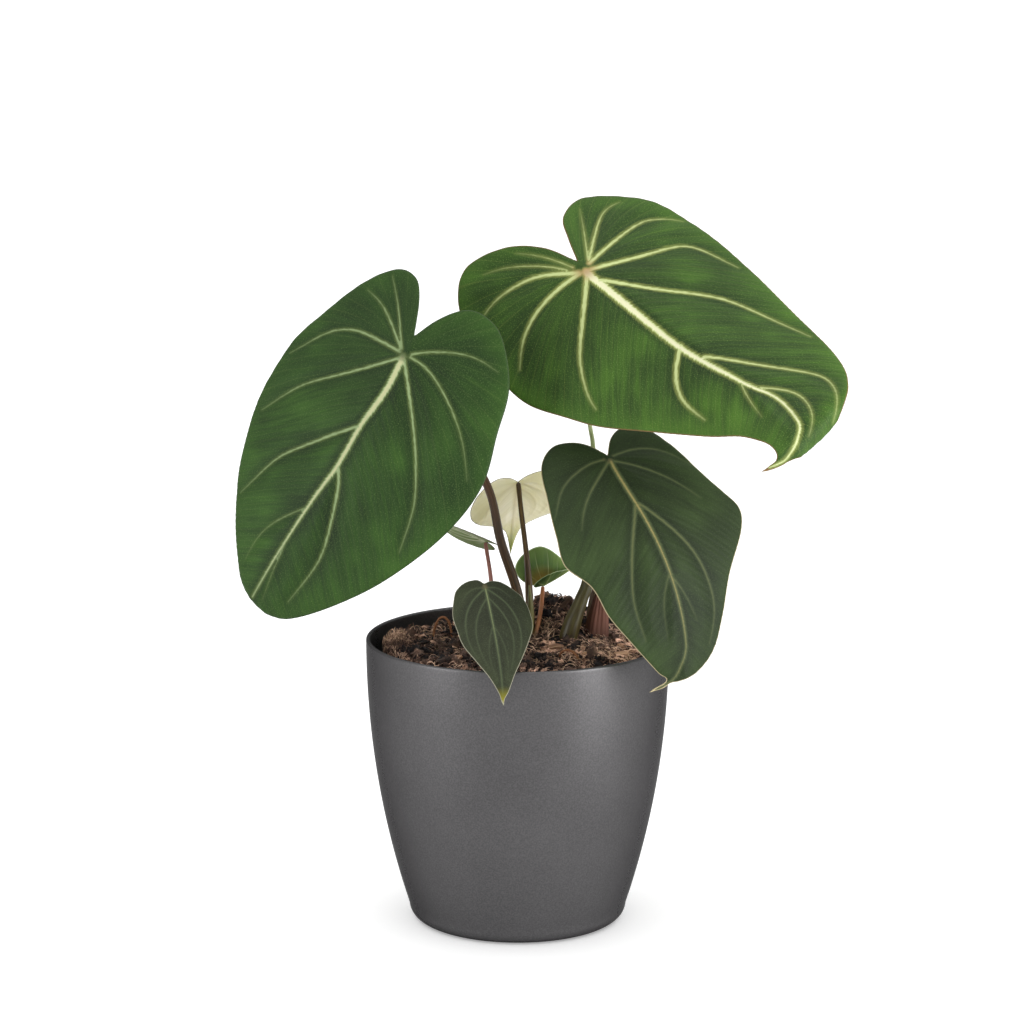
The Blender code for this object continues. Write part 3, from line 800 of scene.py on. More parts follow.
# %% Large blades
TOP_BLADE = {
    "at": (39, 0, 390), "turn": (-36, 24, 43), "arch": -10, "sway": -10, "hook": 1200, "hook_at": 174,
    "fold": (11, 14), "curl": (16, 10), "net": 1.15, "thickness": 0.8, "wave": 1.1,
    "outline": (
        [(-8, 2), (-24, 12), (-37, 22), (-42, 38), (-37, 50), (-25, 63), (-8, 73), (18, 75), (60, 69),
         (109, 60), (152, 55), (172, 47), (187, 35), (197, 26), (203, 12), (203, -5), (204, -12),
         (204, -18), (203, -25)],
        [(-8, 2), (-30, -2), (-48, -12), (-61, -28), (-64, -42), (-55, -57), (-36, -71), (-9, -80),
         (22, -84), (52, -77), (80, -68), (112, -52), (145, -34), (165, -21), (182, -14), (193, -12),
         (199, -14), (201, -19), (203, -25)],
    ),
    "midrib": (2.3, 0.6, [(2, -1), (10, -2), (80, -6), (131, 1), (157, 9), (179, 9), (189, 6), (200, -7),
                          (202, -13), (202, -22)]),
    "vein_width": 1.12,
    "veins": (
        [(0.4, [(-4, 7), (-18, 20), (-28, 29), (-35, 35)]),
         (0.7, [(-3, 7), (-18, 31), (-24, 43), (-25, 52), (-23, 57)]),
         (0.85, [(-1, 5), (-3, 51), (1, 61), (6, 68), (12, 72)]),
         (1.0, [(3, 2), (16, 28), (24, 52), (30, 59), (58, 64)]),
         (1.0, [(12, -1), (40, 15), (62, 31), (75, 39), (100, 47), (127, 54)]),
         (0.8, [(102, -2), (130, 18), (157, 39), (167, 40), (179, 36), (192, 27)]),
         (0.6, [(145, 7), (161, 20), (174, 20), (186, 17), (194, 9)])],
        [(0.35, [(-7, -3), (-20, -5), (-33, -9), (-43, -14)]),
         (0.4, [(-9, -6), (-20, -10), (-31, -16), (-45, -26), (-52, -35)]),
         (1.0, [(-2, -4), (-21, -17), (-28, -26), (-36, -44), (-36, -54)]),
         (1.05, [(-1, -4), (-6, -17), (-9, -38), (-5, -57), (4, -70)]),
         (1.1, [(4, -3), (29, -39), (37, -48), (55, -60), (66, -63)]),
         (1.15, [(84, -5), (95, -20), (105, -26), (115, -29), (135, -28)]),
         (0.35, [(134, 1), (143, -2), (154, -4), (166, -5)])],
    ),
}
LEFT_BLADE = {
    "at": (-65, -45, 347), "turn": (-157, 56, -44), "arch": 18, "sway": -9,
    "fold": (11, 14), "curl": (11, 6), "net": 1.2, "thickness": 0.8, "wave": 1.0,
    "outline": (
        [(-12, 0), (-27, 7), (-39, 17), (-42, 29), (-36, 44), (-14, 62), (12, 70), (40, 78), (72, 75),
         (112, 61), (146, 43), (169, 27), (176, 16), (177, 8), (176.5, 2), (176, -1)],
        [(-12, 0), (-28, -8), (-41, -19), (-43, -33), (-34, -46), (-16, -59), (18, -74), (45, -77),
         (85, -73), (123, -58), (148, -39), (168, -18), (174, -8), (176, -1)],
    ),
    "midrib": (2.0, 0.6, [(2, 0), (8, 1), (23, 2), (37, 1), (49, 0), (75, 1), (88, 0), (105, -1), (141, -1),
                          (174, 1)]),
    "vein_width": 0.8,
    "veins": (
        [(0.7, [(-2, 4), (-9, 13), (-18, 32), (-19, 44), (-18, 52)]),
         (0.7, [(0, 4), (0, 15), (11, 37), (26, 56), (42, 69)]),
         (1.0, [(3, 2), (38, 31), (60, 46), (72, 52), (96, 58)]),
         (1.0, [(74, 1), (84, 8), (118, 20), (132, 22), (161, 20)]),
         (0.3, [(133, 0), (153, 3), (171, 7)])],
        [(0.8, [(-2, -3), (-19, -18), (-28, -27), (-37, -37)]),
         (0.9, [(-2, -4), (-12, -19), (-20, -33), (-23, -47)]),
         (1.0, [(0, -3), (0, -35), (4, -48), (13, -59), (37, -73)]),
         (1.0, [(3, -1), (35, -38), (48, -51), (61, -59), (81, -68)]),
         (1.0, [(48, 0), (63, -14), (89, -34), (102, -40), (133, -47)]),
         (0.4, [(105, -1), (126, -14), (143, -19), (160, -17)])],
    ),
}
RIGHT_BLADE = {
    "at": (52, -35, 285), "turn": (-50, 32, 17), "arch": 41, "sway": -10,
    "fold": (6, 13), "curl": (3, 3), "net": 0.95, "thickness": 0.7, "wave": 0.8,
    "outline": (
        [(-2, 1), (-13, 11), (-18, 23), (-14, 35), (4, 42), (28, 48), (42, 55), (54, 61), (66, 57),
         (88, 40), (110, 30), (128, 21), (139, 9), (143, -2), (144, -8), (147, -13), (149, -21)],
        [(-2, 1), (-16, -6), (-24, -16), (-24, -26), (-14, -37), (11, -47), (34, -53), (56, -56),
         (76, -46), (98, -41), (118, -30), (136, -17), (141, -11), (144, -12), (146, -16), (149, -21)],
    ),
    "midrib": (1.3, 0.5, [(3, 0), (8, -1), (18, -2), (36, -2), (90, 1), (119, 2), (127, 1), (134, -2),
                          (141, -6), (145, -12), (148, -18)]),
    "vein_width": 0.62,
    "veins": (
        [(0.7, [(0, 4), (-1, 17), (2, 28), (8, 36), (22, 45)]),
         (0.8, [(4, 2), (10, 11), (18, 19), (26, 27), (43, 39)]),
         (1.0, [(34, -2), (66, 18), (86, 24), (106, 25), (124, 18)]),
         (0.4, [(82, 1), (91, 5), (98, 8), (110, 11)])],
        [(0.8, [(0, -3), (-3, -10), (0, -29), (6, -37), (21, -48)]),
         (0.9, [(3, -2), (14, -20), (19, -26), (26, -32), (37, -38)]),
         (1.0, [(34, -2), (60, -16), (85, -24), (99, -25), (117, -22)]),
         (0.35, [(80, 0), (90, -6), (102, -9), (118, -9)])],
    ),
}
print("three large patterns")

# %% [markdown]
# ### Patterns of the small leaves
#
# The small leaves are young ones of the same plant. Three of them share one habit, so
# their veins are one family of arching curves, written once for a blade of length 1 and
# half width 1, and stretched to each leaf. The back and the side leaf also share an
# outline: full shoulders and a long drip tip, the narrow point that sheds rain. The front
# leaf's tip is drawn a little finer than in the design model.

# %% Small blades
ARCHING_VEINS = [
    (0.6, [(0.02, 0.04), (-0.02, 0.22), (0.02, 0.45), (0.12, 0.66)]),
    (0.9, [(0.03, 0.04), (0.12, 0.42), (0.26, 0.66), (0.46, 0.70), (0.62, 0.52)]),
    (0.7, [(0.10, 0.0), (0.22, 0.30), (0.38, 0.47), (0.56, 0.44), (0.72, 0.26)]),
    (0.35, [(0.34, 0.0), (0.48, 0.18), (0.64, 0.24), (0.80, 0.13)]),
]
DRIP_TIPPED = [
    (0.0, 0.0), (-0.09, 0.2), (-0.14, 0.5), (-0.06, 0.82), (0.1, 1.0), (0.28, 0.98), (0.42, 0.78),
    (0.53, 0.45), (0.63, 0.2), (0.76, 0.09), (1.0, 0.0),
]


def stretched(shape, length, half_width):
    return [(s * length, t * half_width) for s, t in shape]


def both_halves(shape, length, half_width):
    return stretched(shape, length, half_width), stretched(shape, length, -half_width)


def arching_veins(length, half_width):
    """The family of arching veins on both halves of a small blade."""
    return tuple(
        [(strength, stretched(line, length, side)) for strength, line in ARCHING_VEINS]
        for side in (half_width, -half_width)
    )


FRONT_BLADE = {
    "at": (-19, -57, 214), "turn": (-76, 39, 1), "arch": 12, "sway": -4,
    "fold": (8, 6), "curl": (9, 9), "net": 0.6, "thickness": 0.6, "wave": 0.35,
    "outline": (
        [(-2, 0), (-4, 5), (-3, 11), (2, 17), (9, 22), (18, 24), (28, 24), (38, 20), (50, 14),
         (61, 8), (72, 3), (77, 0), (81, -1)],
        [(-2, 0), (-5, -4), (-4, -11), (1, -17), (9, -20), (19, -22), (29, -21), (40, -19),
         (52, -13), (63, -7), (73, -3), (78, -2), (81, -1)],
    ),
    "midrib": (0.8, 0.25, [(0, 0), (20, 0), (50, 0), (70, -0.5), (79, -1)]),
    "vein_width": 0.42, "veins": arching_veins(81, 23),
}
BACK_BLADE = {
    "at": (0, 25, 260), "turn": (99, 53, -13), "arch": 10,
    "fold": (10, 14), "curl": (20, 20), "net": 0.7, "thickness": 0.6, "wave": 0.4,
    "outline": both_halves(DRIP_TIPPED, 62, 32),
    "midrib": (0.8, 0.3, [(0, 0), (20, 0), (40, 0), (60, 0)]),
    "vein_width": 0.4, "veins": arching_veins(46, 30),
}
SIDE_BLADE = {
    "at": (-19, 9, 227), "turn": (177, -24, 24), "arch": 15,
    "fold": (8, 8), "curl": (15, 15), "net": 0.55, "thickness": 0.55, "wave": 0.2,
    "outline": both_halves(DRIP_TIPPED, 52, 16),
    "midrib": (0.7, 0.25, [(0, 0), (20, 0), (35, 0), (50, 0)]),
    "vein_width": 0.35, "veins": arching_veins(40, 15),
}
YOUNG_BLADE = {
    "at": (15, 28, 196), "turn": (29, -18, 14), "arch": -60,
    "fold": (-60, -50), "curl": (-60, -60), "net": 0.45, "thickness": 0.6, "wave": 0.15,
    "outline": (
        [(0, 0), (-7, 3), (-12, 9), (-13, 16), (-8, 21), (0, 23), (9, 22), (15, 17), (19, 9), (22, 0)],
        [(0, 0), (-5, -2), (-8, -6), (-6, -11), (1, -13), (8, -11), (15, -6), (22, 0)],
    ),
    "midrib": (0.6, 0.3, [(0, 0), (10, 0), (15, 0), (21, 0)]),
    "vein_width": 0.38,
    "veins": (
        [(0.8, [(0, 1), (-5, 6), (-8, 14), (-6, 20)]), (1.0, [(1, 1), (0, 8), (2, 16), (4, 22)]),
         (1.0, [(4, 0), (7, 6), (11, 12), (13, 18)]), (0.7, [(10, 0), (13, 4), (16, 8)])],
        [(0.8, [(0, -1), (-4, -4), (-5, -8)]), (1.0, [(2, -1), (2, -7), (3, -12)]),
         (0.8, [(8, 0), (11, -5), (13, -7)])],
    ),
}
print("four small patterns")

# %% [markdown]
# ### What each point knows about the veins
#
# Three fields are worked out on the flat pattern. The gap is the distance to the nearest
# vein's edge, in millimetres and negative inside it, so a material can paint a sharp vein
# even where the net is coarser than the vein. The strength fades along each vein. The
# grain's first number stays the same along one of the finest side veins: they leave the
# midrib one behind the other and bow forwards, and behind the joint they fan out into the
# lobes. Any noise stretched along the grain then looks like leaf tissue.

# %% Vein fields
def near_line(line, flat):
    """Each point's distance to a line of points, and how far along it the nearest spot is, 0 to 1."""
    runs = np.diff(line, axis=0)
    lengths = np.linalg.norm(runs, axis=1)
    before = np.append(0.0, np.cumsum(lengths))
    best = np.full(len(flat), np.inf)
    share = np.zeros(len(flat))
    for start, run, length, travelled in zip(line, runs, lengths, before):
        along = np.clip(((flat - start) @ run) / length**2, 0.0, 1.0)
        gap = np.hypot(*(flat - start - along[:, None] * run).T)
        nearer = gap < best
        best[nearer] = gap[nearer]
        share[nearer] = (travelled + along[nearer] * length) / before[-1]
    return best, share


GRAIN_LEAN = 0.75  # how far a fine vein runs ahead for each millimetre outwards
GRAIN_BOW = 0.004  # and how much more it leans forwards, per millimetre, as it goes
GRAIN_FAN = 45.0  # behind the joint the fine veins fan out instead, this many millimetres a radian


def flowing(points):
    """A vein's line through its points, with the corners eased out of it."""
    line = smooth_line(points, 3.0)
    for _ in range(8):
        line[1:-1] = 0.5 * line[1:-1] + 0.25 * (line[:-2] + line[2:])
    return line


def vein_fields(blade, flat):
    """Each flat point's gap, strength, midrib share, groove depth, nearness and grain."""
    base_width, tip_width, midrib = blade["midrib"]
    midrib = smooth_line(midrib, 3.0)
    distance, share = near_line(midrib, flat)
    width = base_width + (tip_width - base_width) * share
    gap = distance - width
    strength = 1.0 - 0.35 * share**3
    main = np.ones(len(flat))
    groove = np.exp(-((distance / (1.2 * width + 0.5)) ** 2))
    bed = distance.copy()
    side_of = np.sign(flat[:, 1] - np.interp(flat[:, 0], midrib[:, 0], midrib[:, 1]))
    for veins in blade["veins"]:
        for power, points in veins:
            line = flowing(points)
            distance, share = near_line(line, flat)
            width = blade["vein_width"] * power * (1.0 - 0.6 * share)
            near = distance - width < gap
            gap[near] = (distance - width)[near]
            main[near] = 0.0
            strength[near] = (min(1.0, 0.35 + 0.65 * power) * (1.0 - 0.75 * share**2))[near]
            depth = 0.6 * power * (1.0 - 0.8 * share) * np.exp(-((distance / (1.3 * width + 0.4)) ** 2))
            groove = np.maximum(groove, depth)
            bed = np.minimum(bed, distance + 6.0 * share**4)
    across = np.abs(flat[:, 1] - np.interp(flat[:, 0], midrib[:, 0], midrib[:, 1]))
    swept = flat[:, 0] - GRAIN_LEAN * across - GRAIN_BOW * across**2
    lean = math.atan2(1.0, GRAIN_LEAN)
    fanned = lean - np.arctan2(across, flat[:, 0] - GRAIN_BOW * across**2)
    number = np.where(swept > 0, swept, fanned * GRAIN_FAN * blade["vein_width"])
    grain = np.column_stack([number + 400.0 * side_of, np.hypot(*flat.T), np.zeros(len(flat))])
    return gap, strength, main, groove, bed, grain


# %% Filling an outline with an even net
def inside_outline(rim, flat):
    """Which points lie inside a closed outline, by counting the edges above each."""
    inside = np.zeros(len(flat), bool)
    for (x0, y0), (x1, y1) in zip(rim, np.roll(rim, -1, axis=0)):
        crosses = (y0 > flat[:, 1]) != (y1 > flat[:, 1])
        if y0 != y1:
            inside ^= crosses & (flat[:, 0] < (x1 - x0) * (flat[:, 1] - y0) / (y1 - y0) + x0)
    return inside


def net_of(rim, spacing, lines):
    """Flat points and triangles: the rim, points along the veins, and a triangular net."""
    low, high = rim.min(axis=0), rim.max(axis=0)
    row_height = spacing * math.sqrt(3.0) / 2
    rows = np.arange(low[1], high[1], row_height)
    columns = np.arange(low[0], high[0], spacing)
    net = np.array([(s + spacing / 2 * (k % 2), t) for k, t in enumerate(rows) for s in columns])
    net = net[inside_outline(rim, net)]
    border = np.vstack([rim, rim[:1]])
    ridges = np.vstack([smooth_line(line, 0.6 * spacing) for line in lines])
    ridges = ridges[inside_outline(rim, ridges)]
    ridges = ridges[near_line(border, ridges)[0] > 0.4 * spacing]
    net = net[near_line(border, net)[0] > 0.6 * spacing]
    for line in lines:  # no point of the plain net stands right beside a vein
        net = net[near_line(smooth_line(line, 3.0), net)[0] > 0.55 * spacing]
    corners = [Vector(point) for point in np.vstack([rim, ridges, net])]
    edges = [(k, (k + 1) % len(rim)) for k in range(len(rim))]
    found = geometry.delaunay_2d_cdt(corners, edges, [], 1, 1e-6)
    flat = np.array([corner[:] for corner in found[0]])
    triangles = np.array([face for face in found[2] if len(face) == 3])
    a, b, c = (flat[triangles[:, k]] for k in range(3))
    turned_over = np.cross(b - a, c - a) < 0
    triangles[turned_over] = triangles[turned_over][:, ::-1]
    return flat, triangles


def normals_of(points, triangles):
    """The direction straight out of the sheet at each point."""
    a, b, c = (points[triangles[:, k]] for k in range(3))
    faces = np.cross(b - a, c - a)
    normals = np.zeros_like(points)
    for k in range(3):
        np.add.at(normals, triangles[:, k], faces)
    return normals / np.linalg.norm(normals, axis=1)[:, None]


print("net and fields ready")

# %% [markdown]
# ### From net to leaf
#
# The upper skin of a velvet leaf sinks along its veins and swells between them, like a
# quilt, while the same veins stand out below as ribs. Both skins are made from the one
# net: the upper skin, the lower skin turned over, and a band that closes the rim. The
# sheet thins towards the rim, and the rim waves a little. Upper and lower skin lie side by
# side on the texture map.

# %% Building a blade
GROOVE_DEPTH = 0.55
RIB_HEIGHT = 0.75
QUILT_HEIGHT = 1.4
QUILT_REACH = 8.0  # how far from its vein a swell has two thirds of its height
RIPPLE_HEIGHT = 0.10
RIPPLE_STEP = 5.5
WAVE_LENGTH = 42.0
RIM_DROOP = 0.6
SKIN_SHIFT = 60.0  # keeps the lower skin's patterns apart from the upper one's


def make_blade(name, node, blade, skin, slot):
    """A whole blade in its place; gives back its bend, which says where its stalk joins."""
    bend = Bend(blade)
    halves = [smooth_line(half, blade["net"]) for half in blade["outline"]]
    rim = np.vstack([halves[0], halves[1][-2:0:-1]])
    lines = [blade["midrib"][2]] + [flowing(line) for half in blade["veins"] for _, line in half]
    flat, triangles = net_of(rim, blade["net"], lines)
    edge, _ = near_line(np.vstack([rim, rim[:1]]), flat)
    gap, strength, main, groove, bed, grain = vein_fields(blade, flat)
    scale = min(1.0, blade["vein_width"] / 0.8)
    spots = np.column_stack([flat, np.zeros(len(flat))])
    seed = float(sum(blade["at"]) % 17)
    rise = QUILT_HEIGHT * scale * (1.0 - np.exp(-((bed / QUILT_REACH) ** 2))) - GROOVE_DEPTH * scale * groove
    ripple = np.sin(grain[:, 0] * math.tau / RIPPLE_STEP)
    rise += RIPPLE_HEIGHT * scale * ripple * np.clip(bed / 5.0, 0.0, 1.0)
    rise += blade["wave"] * roughness_at(spots, WAVE_LENGTH, seed) * (0.5 + np.exp(-edge / 12.0))
    rise -= RIM_DROOP * scale * np.exp(-edge / 1.6)
    sheet = blade["thickness"] * (0.45 + 0.55 * np.clip(edge / 1.5, 0.0, 1.0))
    middle = bend.place(flat)
    normals = normals_of(middle, triangles)
    upper = middle + normals * (rise + sheet / 2)[:, None]
    lower = middle + normals * (rise - sheet / 2 - RIB_HEIGHT * scale * groove)[:, None]
    count, size = len(flat), len(rim)
    after = np.roll(np.arange(size), -1)
    band = np.column_stack([np.arange(size), after, after + count, np.arange(size) + count])
    faces = triangles.tolist() + (triangles[:, ::-1] + count).tolist() + band.tolist()
    # The map: upper skin on the left, lower skin on the right, and the rim band round the upper one.
    low, high = flat.min(axis=0) - 3.0, flat.max(axis=0) + 3.0
    side = max(high[0] - low[0], 2 * (high[1] - low[1]))
    chart = (flat - low)[:, ::-1] / side
    outward = rim - rim.mean(axis=0)
    outer = chart[:size] + (outward / np.linalg.norm(outward, axis=1)[:, None])[:, ::-1] * 1.5 / side
    rim_corners = np.stack([chart[band[:, 0]], chart[band[:, 1]], outer[after], outer], axis=1)
    rim_corners = rim_corners.reshape(-1, 2)
    corners = np.vstack(
        [chart[triangles.ravel()], chart[triangles[:, ::-1].ravel()] * (-1, 1) + (1.0, 0.0), rim_corners]
    )
    piece = make_piece(
        name, np.vstack([upper, lower]), faces, corners, skin,
        vein_gap=np.tile(gap, 2), vein_strength=np.tile(strength, 2), rim_gap=np.tile(edge, 2),
        main=np.tile(main, 2), under=np.repeat([0.0, 1.0], count), grain=np.tile(grain, (2, 1)),
        flat=np.vstack([spots, spots + (0.0, 0.0, SKIN_SHIFT)]),
    )
    settle(piece, slot, node)
    return bend


# %% [markdown]
# ### The leaf's finish: living velvet
#
# The upper skin of these leaves is covered in tiny cone-shaped cells. They trap light, so
# the leaf looks deep green and matte, with a soft sheen where it turns away from the eye,
# which is what the shader's sheen is for. The layers, from the bottom up:
#
# 1. three greens, mixed by broad clouds, broad streaks and fine streaks along the grain;
# 2. painted light, a brighter green towards the rim, and painted shade in the furrows and round the joint;
# 3. thin paler lines, the finest side veins, about 3 to 5 mm apart;
# 4. a fine painted glitter, the glints of the tiny cells painted as paler dots; the real cells are 0.05 mm,
#    so it is drawn at 0.7 mm;
# 5. the pale veins, whose edges are frayed along the grain, as if they had bled into it;
# 6. the midrib's lighter core, the brown knot at the joint, and a small leaf's yellower tip;
# 7. the lower skin, pale and dull, with its own ribs;
# 8. over both skins, a brown blush at the youngest leaf's joint, and a thin margin.

# %% Leaf material
BLUSH = "#b08a48"


def stacked(material, colour, layers):
    """Lays colours over a first one, each where its mask is bright."""
    for mask, over in layers:
        mixing = {FACTOR: mask, FIRST: colour, SECOND: over}
        colour = add_node(material, "ShaderNodeMix", mixing, data_type="RGBA").outputs[MIXED]
    return colour


def velvet_leaf(name, look, length):
    """A blade's two skins, for a blade this many millimetres long."""
    surface = {
        "Roughness": 0.60, "IOR": 1.42, "Specular IOR Level": 0.18, "Sheen Weight": look["sheen"],
        "Sheen Roughness": 0.45, "Sheen Tint": linear("#a9c08a"), "Subsurface Weight": look["glow"],
        "Subsurface Radius": (1.0, 0.95, 0.8), "Subsurface Scale": 0.002,
    }
    material, shader = new_material(name, surface)

    def read(field, output="Fac"):
        return add_node(material, "ShaderNodeAttribute", attribute_name=field).outputs[output]

    def streaks(size, stretch, detail):
        """Noise drawn out along the grain: `size` mm across it and `stretch` times as long."""
        squeezed = {"Vector": read("grain", "Vector"), "Scale": (1.0, 1 / stretch, 1.0)}
        place = add_node(material, "ShaderNodeMapping", squeezed).outputs["Vector"]
        noise_inputs = {"Vector": place, "Scale": 1 / size, "Detail": detail}
        return add_node(material, "ShaderNodeTexNoise", noise_inputs).outputs["Fac"]

    def spread(value, start, end, most=1.0):
        """0 where the value is at `start`, rising smoothly to `most` at `end`."""
        limits = {"Value": value, "From Min": start, "From Max": end, "To Max": most}
        return add_node(
            material, "ShaderNodeMapRange", limits, interpolation_type="SMOOTHSTEP"
        ).outputs["Result"]

    def combined(operation, *values):
        return add_node(
            material, "ShaderNodeMath", dict(enumerate(values)), operation=operation
        ).outputs["Value"]

    flat, gap = read("flat", "Vector"), read("vein_gap")
    strength, rim_gap = read("vein_strength"), read("rim_gap")
    clouds = add_node(material, "ShaderNodeTexNoise", {"Vector": flat, "Scale": 1 / 45, "Detail": 2.0})
    cells = add_node(material, "ShaderNodeTexNoise", {"Vector": flat, "Scale": 1 / 0.7, "Detail": 2.0})
    fine_streaks = streaks(1.6, 15, 3.0)
    tone = combined("MULTIPLY", clouds.outputs["Fac"], 0.48)
    tone = combined("MULTIPLY_ADD", streaks(9.0, 5, 2.0), 0.32, tone)
    tone = combined("MULTIPLY_ADD", fine_streaks, 0.20, tone)
    greens = add_node(
        material,
        "ShaderNodeValToRGB",
        {"Fac": tone},
        stops=[(0.34, look["deep"]), (0.50, look["green"]), (0.66, look["bright"])],
    )

    # The finest side veins: the grain's number turned into thin, evenly spaced lines.
    grain_parts = add_node(material, "ShaderNodeSeparateXYZ", {"Vector": read("grain", "Vector")})
    wandering = combined("MULTIPLY_ADD", streaks(9.0, 6, 1.0), 5.0, grain_parts.outputs["X"])
    wave = combined("PINGPONG", wandering, look["hair_step"])
    hairs = spread(wave, 0.35, 0.0, look["hairs"])

    # Frayed veins: the gap is pushed to and fro by a noise stretched along the grain.
    fray = combined("MULTIPLY", combined("SUBTRACT", streaks(1.1, 4, 3.0), 0.5), strength)
    frayed_gap = combined("MULTIPLY_ADD", fray, -look["fray"], gap)
    halo = combined("MULTIPLY", spread(frayed_gap, look["halo_width"], -0.4, look["halo"]), strength)
    vein = combined("MULTIPLY", spread(frayed_gap, 0.35, -0.55), strength)
    core = spread(frayed_gap, -0.25, -1.1, look["core_share"])
    core = combined("MULTIPLY", core, combined("MULTIPLY", strength, read("main")))

    # Painted shade: the quilt's furrows and the hollow round the joint are painted darker than the swells,
    # for the shade they hold.
    joint_gap = add_node(material, "ShaderNodeVectorMath", {0: flat}, operation="LENGTH").outputs["Value"]
    joint_shade = spread(joint_gap, length * 0.45, length * 0.05, 0.45)
    shadow = combined("MAXIMUM", joint_shade, combined("MULTIPLY", spread(gap, 8.0, 0.5, 0.7), strength))

    # A leaf joint is a brown knot, and it stains the first stretch of every vein.
    stain = spread(joint_gap, look["knot"], 1.0, 0.85)
    knot = combined("MULTIPLY", stain, spread(frayed_gap, 1.5, -0.3))

    # Towards its end a small leaf is yellower.
    along = add_node(material, "ShaderNodeSeparateXYZ", {"Vector": flat}).outputs["X"]
    tip = spread(along, length * look["tip_start"], length * 0.98, look["tip_share"])

    upper = stacked(material, greens.outputs["Color"], [
        # painted light: a lit, brighter band of green along the rim
        (spread(rim_gap, 16.0, 0.0, look["rim_glow"]), linear(look["bright"])),
        # painted shade in the furrows and round the joint
        (shadow, linear(look["furrow_shade"])),
        (hairs, linear(look["halo_colour"])),
        # painted highlights: the glints of the velvet's cells, as paler dots
        (spread(cells.outputs["Fac"], 0.50, 0.80, look["glitter"]), linear(look["glint"])),
        (halo, linear(look["halo_colour"])),
        (vein, linear(look["vein"])),
        (core, linear(look["core"])),
        (knot, linear(look["knot_colour"])),
        (tip, linear(look["tip"])),
    ])
    pale = add_node(
        material,
        "ShaderNodeValToRGB",
        {"Fac": tone},
        stops=[(0.38, look["under_deep"]), (0.62, look["under_pale"])],
    )
    ribs = combined("MULTIPLY", spread(gap, 0.9, -0.2, look["rib_share"]), strength)
    lower = stacked(material, pale.outputs["Color"], [
        (ribs, linear(look["rib"])),
        (tip, linear(look["tip"])),
    ])
    margin = spread(rim_gap, look["margin_width"], 0.1, 0.85)
    blush = spread(joint_gap, length * 0.65, 0.0, look["blush"])
    skin = stacked(material, upper, [
        (read("under"), lower),
        (blush, linear(BLUSH)),
        (margin, linear(look["margin"])),
    ])
    nap = combined("ADD", cells.outputs["Fac"], fine_streaks)
    bump = add_node(
        material,
        "ShaderNodeBump",
        {"Strength": 0.30, "Distance": 0.00025, "Height": nap},
    )
    fill(material, shader, {"Base Color": skin, "Normal": bump.outputs["Normal"]})
    return material


# %% [markdown]
# ### Seven leaves, seven ages
#
# A leaf darkens as it ages. The newest large leaf, at the top, is the brightest and has
# the creamiest veins. The one on the right is the oldest: darker and greyer, with thin
# straw-coloured veins. The small leaves are olive grey, but for the youngest, which is
# yellow-green. The back one is seen from below with light coming through it, which turns it
# to pale cream. Each look after the first takes over an earlier one, and says only what
# differs.

# %% Colours of each leaf
TOP_LOOK = {
    "furrow_shade": "#0f1e07", "deep": "#152709", "green": "#273f12", "bright": "#3c5c1a",
    "vein": "#a3ad76", "glint": "#77954b", "core": "#c4c3a1", "core_share": 0.95,
    "halo_colour": "#7f8748", "halo": 0.75, "halo_width": 2.2, "fray": 2.6, "hairs": 0.10, "hair_step": 2.6,
    "glitter": 0.36, "rim_glow": 0.45, "sheen": 0.04, "glow": 0.0, "tip": "#6d8040", "tip_share": 0.0,
    "tip_start": 0.84, "blush": 0.0,
    "margin": "#6f5236", "margin_width": 0.8, "knot": 11.0, "knot_colour": "#8a6f4a",
    "under_deep": "#7d9a63", "under_pale": "#9db47f", "rib": "#cdd3a5", "rib_share": 0.75,
}
LEFT_LOOK = TOP_LOOK | {
    "furrow_shade": "#0b1806", "deep": "#11210a", "green": "#1e3510", "bright": "#2c4817",
    "vein": "#708059", "glint": "#617643", "core": "#999b75",
    "halo_colour": "#596737", "halo": 0.55, "halo_width": 1.8, "fray": 2.0, "margin": "#35422c",
    "margin_width": 0.6, "rim_glow": 0.3, "knot": 6.0, "knot_colour": "#3f4a2a",
}
RIGHT_LOOK = TOP_LOOK | {
    "furrow_shade": "#0f1709", "deep": "#141e0d", "green": "#1f2b13", "bright": "#2a391b",
    "vein": "#484d2f", "glint": "#55633f", "core": "#7a7046",
    "halo_colour": "#4d5639", "halo": 0.55, "halo_width": 1.5, "fray": 1.2, "glitter": 0.26, "sheen": 0.05,
    "rim_glow": 0.2, "tip": "#bfc49a", "margin": "#ab9d7c", "margin_width": 0.6, "knot": 5.0,
    "knot_colour": "#4a4530", "hairs": 0.03, "hair_step": 2.2,
}
FRONT_LOOK = RIGHT_LOOK | {
    "furrow_shade": "#181b10", "deep": "#181b10", "green": "#232719", "bright": "#2f3521",
    "vein": "#3d452f", "glint": "#5b654e", "core": "#7e855b",
    "halo_colour": "#444d38", "halo": 0.4, "halo_width": 1.1, "fray": 0.7, "hairs": 0.06, "hair_step": 1.6,
    "rim_glow": 0.25, "tip": "#726c17", "tip_share": 0.85, "margin": "#8d8a78", "margin_width": 0.5,
    "knot": 3.0,
}
BACK_LOOK = FRONT_LOOK | {
    "glow": 1.0, "under_deep": "#d9d3ba", "under_pale": "#efe7d6", "rib": "#d9d0bb", "rib_share": 0.4,
    "tip": "#7f8d3c", "tip_start": 0.45, "tip_share": 0.92, "margin": "#4f4a3a",
}
SIDE_LOOK = FRONT_LOOK | {
    "under_deep": "#7e8f5e", "under_pale": "#93a273", "rib": "#e6e6c8", "margin": "#5f4a3c",
    "tip": "#6f7a48", "tip_share": 0.4,
}
YOUNG_LOOK = FRONT_LOOK | {
    "furrow_shade": "#38502a", "deep": "#40572f", "green": "#5c763d", "bright": "#8a9c52", "vein": "#98a472",
    "under_deep": "#3f5a2c", "under_pale": "#7f9149", "rib": "#a0ab6e", "rib_share": 0.55,
    "blush": 0.8, "margin": "#a9b78e", "margin_width": 0.8, "tip": "#93a060", "tip_share": 0.0,
}

